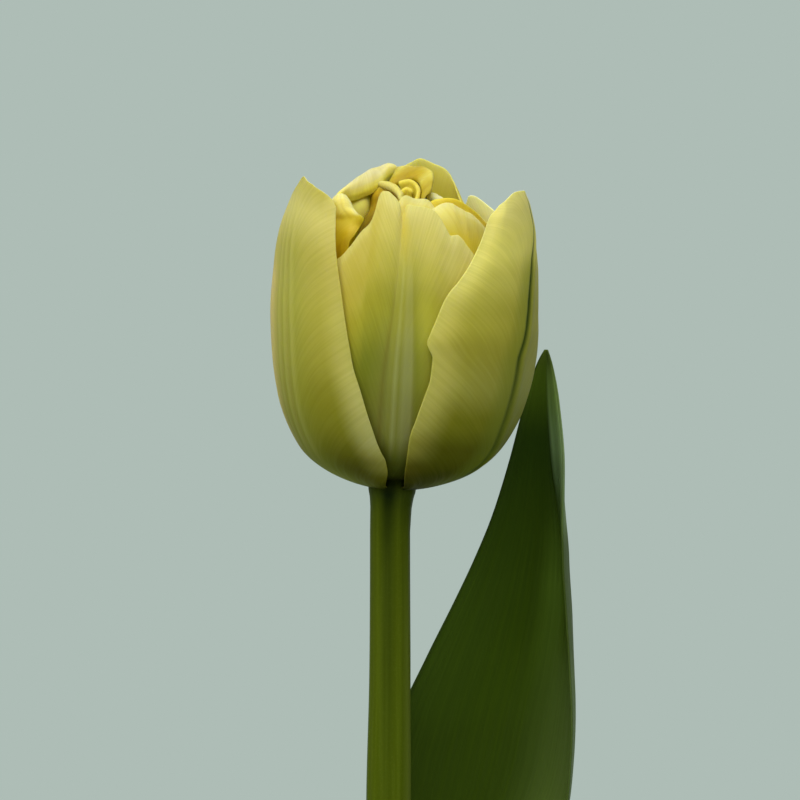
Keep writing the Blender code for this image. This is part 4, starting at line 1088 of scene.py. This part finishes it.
stem = {
    "route": [(0, -9.4), (40, -5.2), (90, 0.6), (140, 4.6), (190, 6.2), (226, 6.7), (260, 7.0), (300, 7.0)],
    "radii": [(0, 4.5), (60, 4.6), (150, 4.6), (226, 4.5), (250, 4.15), (279, 4.02), (284, 4.15),
              (288, 4.6)],
    "receptacle": [(-4.0, 4.15), (-2.0, 4.4), (-0.4, 4.75), (0.4, 4.8), (2.4, 4.3), (4.4, 3.7), (6.0, 3.2),
                   (7.6, 2.6), (8.6, 1.9)],
    "cutFrom": 8.3, "cutSlant": 0.55, "cutTo": 30.0, "topOfStem": 279.0,
    "facets": 72, "rows": 240, "ribs": 11, "fineRibs": 17, "fineShare": 0.6, "ribDepth": 0.025, "unit": 0.3,
    "ribWander": 0.9, "wanderLength": 60, "fineTwist": 70, "depthSway": 0.3, "depthLength": 31,
    # green by height: the lighter step near 0.952, just under the bloom, is painted light, and the darkening
    # above it into the bloom's base is painted shade
    "green": tones((0.0, 140, 148, 70), (0.06, 100, 114, 24), (0.5, 82, 97, 8), (0.8, 79, 93, 7),
                   (0.91, 80, 93, 8), (0.93, 82, 95, 8), (0.952, 90, 103, 15), (0.962, 74, 84, 8),
                   (0.972, 64, 70, 2), (1.0, 56, 62, 4)),
    "streaks": paint(90, 104, 26), "streakDepth": 0.14, "speckles": paint(120, 134, 50), "speckleDepth": 0.12,
    "sides": [  # where round the stem, how far it reaches, how strong it is up the stem, and its colour
        # painted shade: a dark stripe down the stem's front, strongest just under the bloom
        {"at": 0.73, "fades": (0.09, 0.01), "colour": paint(96, 116, 30), "way": "MULTIPLY",
         "up": [(0.55, 0.1), (0.77, 0.2), (0.85, 0.44), (0.911, 0.5), (0.935, 0.68), (0.945, 0.76),
                (0.957, 0.97), (0.962, 0.8), (0.97, 0.4)]},
        {"at": 0.0, "fades": (0.69, 0.61), "colour": paint(232, 222, 255), "way": "MULTIPLY",
         "up": [(0.5, 0.1), (0.9, 0.1), (0.94, 0.0)]},
        # painted light: a lighter green on the stem's right side lower down, fading out under the bloom
        {"at": 0.0, "fades": (0.84, 0.95), "colour": paint(116, 129, 50), "way": "MIX",
         "up": [(0.5, 0.75), (0.86, 0.6), (0.93, 0.1)]},
        # painted shade on the stem's right side just under the bloom
        {"at": 0.0, "fades": (0.76, 0.86), "colour": paint(190, 196, 180), "way": "MULTIPLY",
         "up": [(0.93, 0.0), (0.95, 0.6), (0.965, 0.3)]},
    ],
}


def stemRings():
    turn, depth = ringTurn(stem["facets"]), stem["ribDepth"]
    z = np.linspace(stem["cutFrom"], stem["topOfStem"], stem["rows"])
    centres = upright(smoothCurve(stem["route"], z), z)
    z = z[:, None]
    radius = smoothCurve(stem["radii"], z)
    ribs = np.cos(stem["ribs"] * turn + stem["ribWander"] * np.sin(z / stem["wanderLength"]))
    ribs = ribs + stem["fineShare"] * np.cos(stem["fineRibs"] * turn + z / stem["fineTwist"])
    swayed = 1 - stem["depthSway"] + stem["depthSway"] * np.sin(z / stem["depthLength"])
    size = radius + depth * ribs * swayed
    stalk = ringsAt(centres, size, turn)
    slant = stem["cutSlant"] * (1 - ease(z, stem["cutFrom"], stem["cutTo"]))
    stalk[..., 2] += slant * (size * np.cos(turn) + radius)
    z, radius = upProfile(stem["receptacle"], 40)
    ribs = np.cos(stem["ribs"] * turn) + stem["fineShare"] * np.cos(stem["fineRibs"] * turn)
    head = ringsAt(upright(0, z), radius[:, None] + depth * ribs, turn)
    return np.concatenate([stalk, onBloom(head)])


def stemMaterial():
    material, n, shader = newMaterial("stem")
    where = n.place()
    height = n.times(n.parts(where)[2], 1 / stem["unit"])
    colour = n.ramp(height, stem["green"])[0]
    stretched = n.add("ShaderNodeMapping", {"Vector": where, "Scale": (1400.0, 1400.0, 22.0)}).outputs[0]
    lines = n.noise(stretched, 1.0, 3.0)
    streak = n.range(lines, 0.38, 0.66)
    colour = n.mix(n.times(streak, stem["streakDepth"]), colour, stem["streaks"], "SCREEN")
    speckle = n.range(n.noise(where, 2600.0, 2.0), 0.5, 0.75)
    colour = n.mix(n.times(speckle, stem["speckleDepth"]), colour, stem["speckles"])
    around = n.uv("stalkUV")[0]
    # bands round the stem: painted shade down the front and on the right under the bloom, painted light on
    # the right lower down, and a faint tint
    for side in stem["sides"]:
        reach = n.range(n.distance(around, side["at"]), *side["fades"])
        colour = n.mix(n.times(reach, n.levels(height, side["up"])), colour, side["colour"], side["way"])
    n.dress(shader, Base_Color=colour, Roughness=n.range(lines, 0.3, 0.7, 0.42, 0.58),
            Normal=n.bump(lines, 0.25, 0.0002), Specular_IOR_Level=0.07, Subsurface_Weight=0.1,
            Subsurface_Radius=(0.5, 0.8, 0.1), Subsurface_Scale=0.0015)
    return material


def buildStem():
    rings = stemRings()
    around = np.broadcast_to(ringTurn(stem["facets"]) / (2 * math.pi), rings.shape[:2])
    uv = np.stack([around, rings[..., 2] / 100], axis=-1)
    declare(tube("stemStalk", rings, stemMaterial(), uv), "stem")


buildStem()
print("stem done")


# The leaf

leaf = {
    "stations": [  # height, then left margin, midrib and right margin as x and y, and how round the fold is
        (157.5, (0.6, 3.8), (11.0, 6.2), (11.8, -5.2), 3.0),
        (166.0, (1.2, 4.2), (11.8, 6.8), (13.2, -5.2), 3.0),
        (182.0, (1.8, 6.6), (16.6, 12.6), (22.4, -3.6), 2.6),
        (204.0, (3.0, 7.8), (26.4, 18.4), (36.6, -0.4), 2.0),
        (226.0, (5.0, 8.4), (36.0, 20.0), (42.9, 0.0), 1.3),
        (240.0, (8.8, 9.2), (38.8, 20.4), (43.6, 0.4), 0.9),
        (252.0, (14.3, 10.0), (40.8, 20.2), (43.1, 1.4), 0.5),
        (264.0, (20.3, 11.0), (41.8, 19.6), (42.3, 2.8), 0.3),
        (272.0, (24.1, 11.8), (41.8, 19.0), (41.8, 4.0), 0.25),
        (281.0, (27.8, 12.4), (41.1, 18.0), (41.7, 5.4), 0.25),
        (292.0, (31.2, 12.8), (39.7, 16.6), (42.0, 7.0), 0.25),
        (304.0, (34.3, 12.2), (38.9, 14.6), (41.0, 9.0), 0.25),
        (311.5, (36.6, 11.5), (38.6, 12.4), (39.7, 10.2), 0.25),
        (314.6, (38.1, 11.1), (38.5, 11.2), (38.8, 10.9), 0.25),
    ],
    "claspTop": 176.0, "claspFacing": 130.0, "claspReach": 120.0,
    "thickness": 0.8, "gap": 0.3, "cadThickness": 0.9, "grid": (72, 200),
    "sway": 0.3, "swaySeed": 201, "swayWaves": (0.9, 2.0), "freeFrom": (0.15, 0.35), "freeTo": (0.85, 1.0),
    "grooves": 13, "grooveDepth": 0.035, "keel": 0.25, "keelWidth": 0.03, "thinEdge": 0.4, "taper": 0.12,
}


def leafPoints(u, v):
    stations = leaf["stations"]
    heights = [station[0] for station in stations]
    height = heights[0] + (heights[-1] - heights[0]) * v

    def line(column, axis):
        return smoothCurve([(s[0], s[column][axis]) for s in stations], height)

    rounding = smoothCurve([(s[0], s[4]) for s in stations], height)
    fold = (np.sqrt(u**2 + rounding**2) - rounding) / (np.sqrt(1 + rounding**2) - rounding)
    x, y = (
        line(2, axis) + (line(3, axis) - line(1, axis)) / 2 * u
        + ((line(3, axis) + line(1, axis)) / 2 - line(2, axis)) * fold
        for axis in (0, 1)
    )
    turn = np.radians(leaf["claspFacing"] - leaf["claspReach"] * u)
    clasp = 1 - ease(height, heights[0], leaf["claspTop"])
    reach = smoothCurve(stem["radii"], height) + leaf["gap"] + leaf["cadThickness"] / 2
    x = x + (smoothCurve(stem["route"], height) + reach * np.sin(turn) - x) * clasp
    y = y + (-reach * np.cos(turn) - y) * clasp
    return np.stack([x, y, np.broadcast_to(height, x.shape)], axis=-1)


leafLook = {  # each effect's depth and colour
    "front": tones((0.0, 112, 128, 40), (0.12, 68, 88, 8), (0.48, 56, 76, 4), (0.56, 62, 84, 6),
                   (0.75, 54, 76, 4), (0.88, 40, 62, 4), (0.97, 87, 109, 22), (1.0, 96, 112, 36)),
    # back: the back face's own paler green, with a painted sheen in the pale bluish stops from 0.79 to 0.95
    # along
    "back": tones((0.0, 112, 128, 50), (0.3, 88, 108, 44), (0.5, 98, 118, 56), (0.57, 98, 118, 58),
                  (0.64, 80, 98, 36), (0.7, 75, 93, 28), (0.745, 78, 97, 32), (0.79, 118, 142, 80),
                  (0.84, 150, 177, 122), (0.88, 174, 203, 140), (0.95, 160, 187, 108), (1.0, 110, 128, 60)),
    # besideFold: painted light, a lighter green beside the fold partway up the leaf
    "besideFold": (1.0, paint(106, 137, 40)),
    "besideFoldUp": [(0.55, 0.0), (0.636, 0.35), (0.69, 0.65), (0.74, 0.5), (0.79, 0.1), (0.83, 0.0)],
    "lines": (0.15, paint(170, 186, 130)), "fine": (0.08, paint(80, 100, 20)),
    "blotches": (0.2, paint(84, 108, 30)), "margin": (0.5, paint(44, 60, 14)),
}


def leafMaterial():
    material, n, shader = newMaterial("leafGreen")
    across, along = n.uv("leafUV")[:2]
    lines = n.noise(n.spot(n.times(across, 70.0), n.times(along, 2.5), 0.0), 1.0, 2.0)
    fine = n.noise(n.spot(n.times(across, 260.0), n.times(along, 9.0), 4.0), 1.0, 1.0)
    tone = n.group(blotchesGroup, Size=0.02)["Tone"]
    fold = n.mix(n.range(along, 0.68, 0.85), n.range(across, 0.35, 0.85), n.range(across, 0.5, 0.61))
    colour = n.mix(fold, n.ramp(along, leafLook["front"])[0], n.ramp(along, leafLook["back"])[0])
    # painted light beside the fold
    besideFold = n.range(n.distance(across, 0.45), 0.13, 0.02)
    besideFold = n.times(besideFold, n.levels(along, leafLook["besideFoldUp"]))
    margin = n.range(n.distance(across, 0.5), 0.485, 0.5)
    for strength, key, way in (
        (besideFold, "besideFold", "MIX"), (n.range(lines, 0.4, 0.62), "lines", "MULTIPLY"),
        (n.range(fine, 0.45, 0.7), "fine", "SCREEN"), (tone, "blotches", "MIX"), (margin, "margin", "MIX"),
    ):
        depth, shade = leafLook[key]
        colour = n.mix(n.times(strength, depth), colour, shade, way)
    height = n.math("ADD", n.times(lines, 0.7), n.times(fine, 0.3))
    n.dress(shader, Base_Color=colour, Roughness=n.range(lines, 0.3, 0.7, 0.45, 0.62),
            Normal=n.bump(height, 0.3, 0.0003), Specular_IOR_Level=0.12, Subsurface_Weight=0.1,
            Subsurface_Radius=(0.5, 0.8, 0.15), Subsurface_Scale=0.0012)
    return material


def buildLeaf():
    columns, rows = leaf["grid"]
    u = np.linspace(-1, 1, columns + 1)[:, None]
    v = np.linspace(0, 1, rows + 1)[None, :]
    points = leafPoints(u, v)
    free = ease(v, *leaf["freeFrom"]) * (1 - ease(v, *leaf["freeTo"]))
    sway = leaf["sway"] * waves(u, v, leaf["swaySeed"], *leaf["swayWaves"]) * (1 - u**2)
    grooves = leaf["grooveDepth"] * np.cos(2 * math.pi * leaf["grooves"] * u)
    keel = -leaf["keel"] * hump(u, 0.0, leaf["keelWidth"])
    points = points + sheetNormals(points) * ((sway + grooves + keel) * free)[..., None]
    edge = np.minimum(1 - np.abs(u), (1 - v) * 2) * np.ones(points.shape[:2])
    thin = leaf["thinEdge"]
    thickness = leaf["thickness"] * (thin + (1 - thin) * ease(edge, 0.0, leaf["taper"]))
    uv = np.stack([0.5 + 0.5 * u + 0 * v, v + 0 * u], axis=-1)
    declare(blade("leafBlade", points, thickness, leafMaterial(), {"leafUV": uv}), "leaf")


buildLeaf()
print("leaf done")


# The vase and its water

vase = {
    "outside": [(0.0, 29.0), (1.2, 31.6), (5.0, 33.8), (16.0, 35.4), (38.0, 36.0), (58.0, 34.8),
                (76.0, 30.0), (92.0, 22.0), (106.0, 15.4), (120.0, 12.4), (134.0, 12.0), (143.0, 13.0),
                (150.0, 15.2)],
    "wall": 2.4, "floor": 8.0, "floorCorner": 9.0, "top": 150.0, "sides": 160,
    "footRadii": [0.0, 10.0, 20.0, 26.0, 28.6], "footHeight": 1.2, "crowding": 1.6,
    "waterLevel": 88.0, "overlap": 0.12, "dip": 0.4,
    "meniscus": 1.1, "meniscusReach": 9.0, "meniscusFall": 1.6,
    "glass": (paint(246, 251, 249), 1.5), "water": (paint(248, 252, 252), 1.333),  # with how far light bends
}


def vaseOutside(z):
    return smoothCurve(vase["outside"], z)


def vaseInside(z):
    corner = vase["floorCorner"]
    rise = np.clip((z - vase["floor"]) / corner, 0, 1)
    return vaseOutside(z) - vase["wall"] - corner * (1 - np.sqrt(1 - (1 - rise) ** 2))


def clearMaterial(name, colour, ior):
    material, n, shader = newMaterial(name)
    n.dress(shader, Base_Color=colour, Roughness=0.0, IOR=ior, Transmission_Weight=1.0, Metallic=0.0)
    seeThrough = n.add("ShaderNodeBsdfTransparent", {"Color": colour}).outputs[0]
    shadowRay = n.add("ShaderNodeLightPath").outputs["Is Shadow Ray"]
    mixed = n.add("ShaderNodeMixShader", {0: shadowRay, 1: shader.outputs[0], 2: seeThrough})
    n.feed(material.node_tree.nodes["Material Output"].inputs["Surface"], mixed.outputs[0])
    return material


def fromFloor(top, count):  # heights inside the vase, closer together near its floor
    return vase["floor"] + (top - vase["floor"]) * np.linspace(0, 1, count) ** vase["crowding"]


def buildVase():
    half, top, foot = vase["wall"] / 2, vase["top"], vase["footHeight"]
    low = np.concatenate([np.linspace(0, foot, 8)[1:], np.linspace(foot, top, 90)[1:]])
    outer = [(radius, 0.0) for radius in vase["footRadii"]] + [(vaseOutside(z), z) for z in low]
    edge = vaseOutside(top)
    turns = np.radians(np.linspace(0, 180, 11)[1:-1])
    lip = [(edge - half * (1 - math.cos(t)), top + half * math.sin(t)) for t in turns]
    inner = [(vaseInside(z), z) for z in fromFloor(top, 120)[::-1]]
    profile = outer + lip + inner + [(0.0, vase["floor"])]
    glass = clearMaterial("clearGlass", *vase["glass"])
    declare(lathe("vaseGlass", profile, vase["sides"], glass), "vase")


def buildWater():
    level, over, reach = vase["waterLevel"], vase["overlap"], vase["meniscusReach"]
    side = [(vaseInside(z) + over, max(z, vase["floor"] - over)) for z in fromFloor(level, 80)]
    wallRadius, surface = float(vaseInside(level)), level - vase["dip"]
    top = [
        (wallRadius - reach * t, surface + vase["meniscus"] * math.exp(-reach * t / vase["meniscusFall"]))
        for t in np.linspace(0, 1, 24)
    ]
    profile = [(0.0, vase["floor"] - over)] + side + top + [(0.0, surface)]
    water = clearMaterial("clearWater", *vase["water"])
    declare(lathe("waterFill", profile, vase["sides"], water), "water")


buildVase()
buildWater()
print("vase and water done")


# Floor, light and camera

backdropColour = paint(174, 189, 182)


def buildFloor():
    material, n, shader = newMaterial("paleFloor")
    where = n.place()
    away = n.add("ShaderNodeVectorMath", {0: where}, operation="LENGTH").outputs["Value"]
    grain = n.times(n.noise(where, 400.0, 3.0), 0.12)
    n.dress(shader, Base_Color=n.mix(grain, backdropColour, paint(150, 165, 158)), Roughness=0.7,
            Alpha=n.range(away, 0.25, 0.85, 1.0, 0.0), Specular_IOR_Level=0.2)
    sides, radii = 96, [120.0, 300.0, 600.0, 900.0]
    verts = [(0, 0, 0)] + [(r * math.cos(t), r * math.sin(t), 0) for r in radii for t in ringTurn(sides)]
    faces = [(0, 1 + i, 1 + (i + 1) % sides) for i in range(sides)]
    for k in range(len(radii) - 1):
        a, b = 1 + k * sides, 1 + (k + 1) * sides
        faces += [(a + i, b + i, b + (i + 1) % sides, a + (i + 1) % sides) for i in range(sides)]
    floor = makeObject("paleFloor", verts, faces, material)
    floor.location.z = -0.0002


def buildWorld():
    world = bpy.data.worlds.new("studio")
    bpy.context.scene.world = world
    world.use_nodes = True
    world.node_tree.nodes.clear()
    n = Nodes(world.node_tree)
    path = n.add("ShaderNodeLightPath")
    seen = n.math("MAXIMUM", path.outputs["Is Camera Ray"], path.outputs["Is Transmission Ray"])
    way = n.parts(n.add("ShaderNodeTexCoord").outputs["Generated"])
    glow = n.ramp(n.math("ADD", n.times(way[2], 0.5), 0.5), [
        (0.0, (0.02, 0.022, 0.018, 1)), (0.42, (0.05, 0.055, 0.05, 1)), (0.58, (0.16, 0.17, 0.165, 1)),
        (0.75, (0.40, 0.42, 0.41, 1)), (1.0, (0.62, 0.64, 0.62, 1)),
    ])[0]
    glow = n.mix(n.range(way[1], 0.3, 0.9), glow, backdropColour)
    light, flat = (
        n.add("ShaderNodeBackground", {"Color": colour, "Strength": 1.0}).outputs[0]
        for colour in (glow, backdropColour)
    )
    mixed = n.add("ShaderNodeMixShader", {0: seen, 1: light, 2: flat})
    n.add("ShaderNodeOutputWorld", {"Surface": mixed.outputs[0]})


def addLamp(name, place, aim, size, power):
    lamp = bpy.data.lights.new(name, "AREA")
    lamp.shape = "RECTANGLE"
    lamp.size, lamp.size_y = size
    lamp.energy = power
    holder = bpy.data.objects.new(name, lamp)
    holder.location = place
    holder.rotation_euler = (Vector(aim) - Vector(place)).to_track_quat("-Z", "Y").to_euler()
    holder.visible_camera = False
    bpy.context.scene.collection.objects.link(holder)


studio = {
    "aim": (0.009, 0.0, 0.3056), "elevation": 5.5, "distance": 1.2, "width": 0.16, "sensor": 36.0,
    "bloom": (0.009, 0.0, 0.32), "lampPlace": (-0.12, -0.42, 1.0), "lampSize": (1.0, 1.0), "lampPower": 10.5,
}


def addCamera():
    tilt = math.radians(studio["elevation"])
    back = Vector((0, -math.cos(tilt), math.sin(tilt)))
    camera = bpy.data.cameras.new("camera")
    camera.sensor_width = studio["sensor"]
    camera.lens = studio["sensor"] * studio["distance"] / studio["width"]
    camera.clip_start, camera.clip_end = 0.05, 50.0
    holder = bpy.data.objects.new("camera", camera)
    holder.location = Vector(studio["aim"]) + back * studio["distance"]
    holder.rotation_euler = (-back).to_track_quat("-Z", "Y").to_euler()
    bpy.context.scene.collection.objects.link(holder)
    bpy.context.scene.camera = holder


buildFloor()
buildWorld()
addLamp("topSoftbox", studio["lampPlace"], studio["bloom"], studio["lampSize"], studio["lampPower"])
addCamera()
bpy.context.scene.view_settings.view_transform = "Standard"
print("floor, light and camera done")
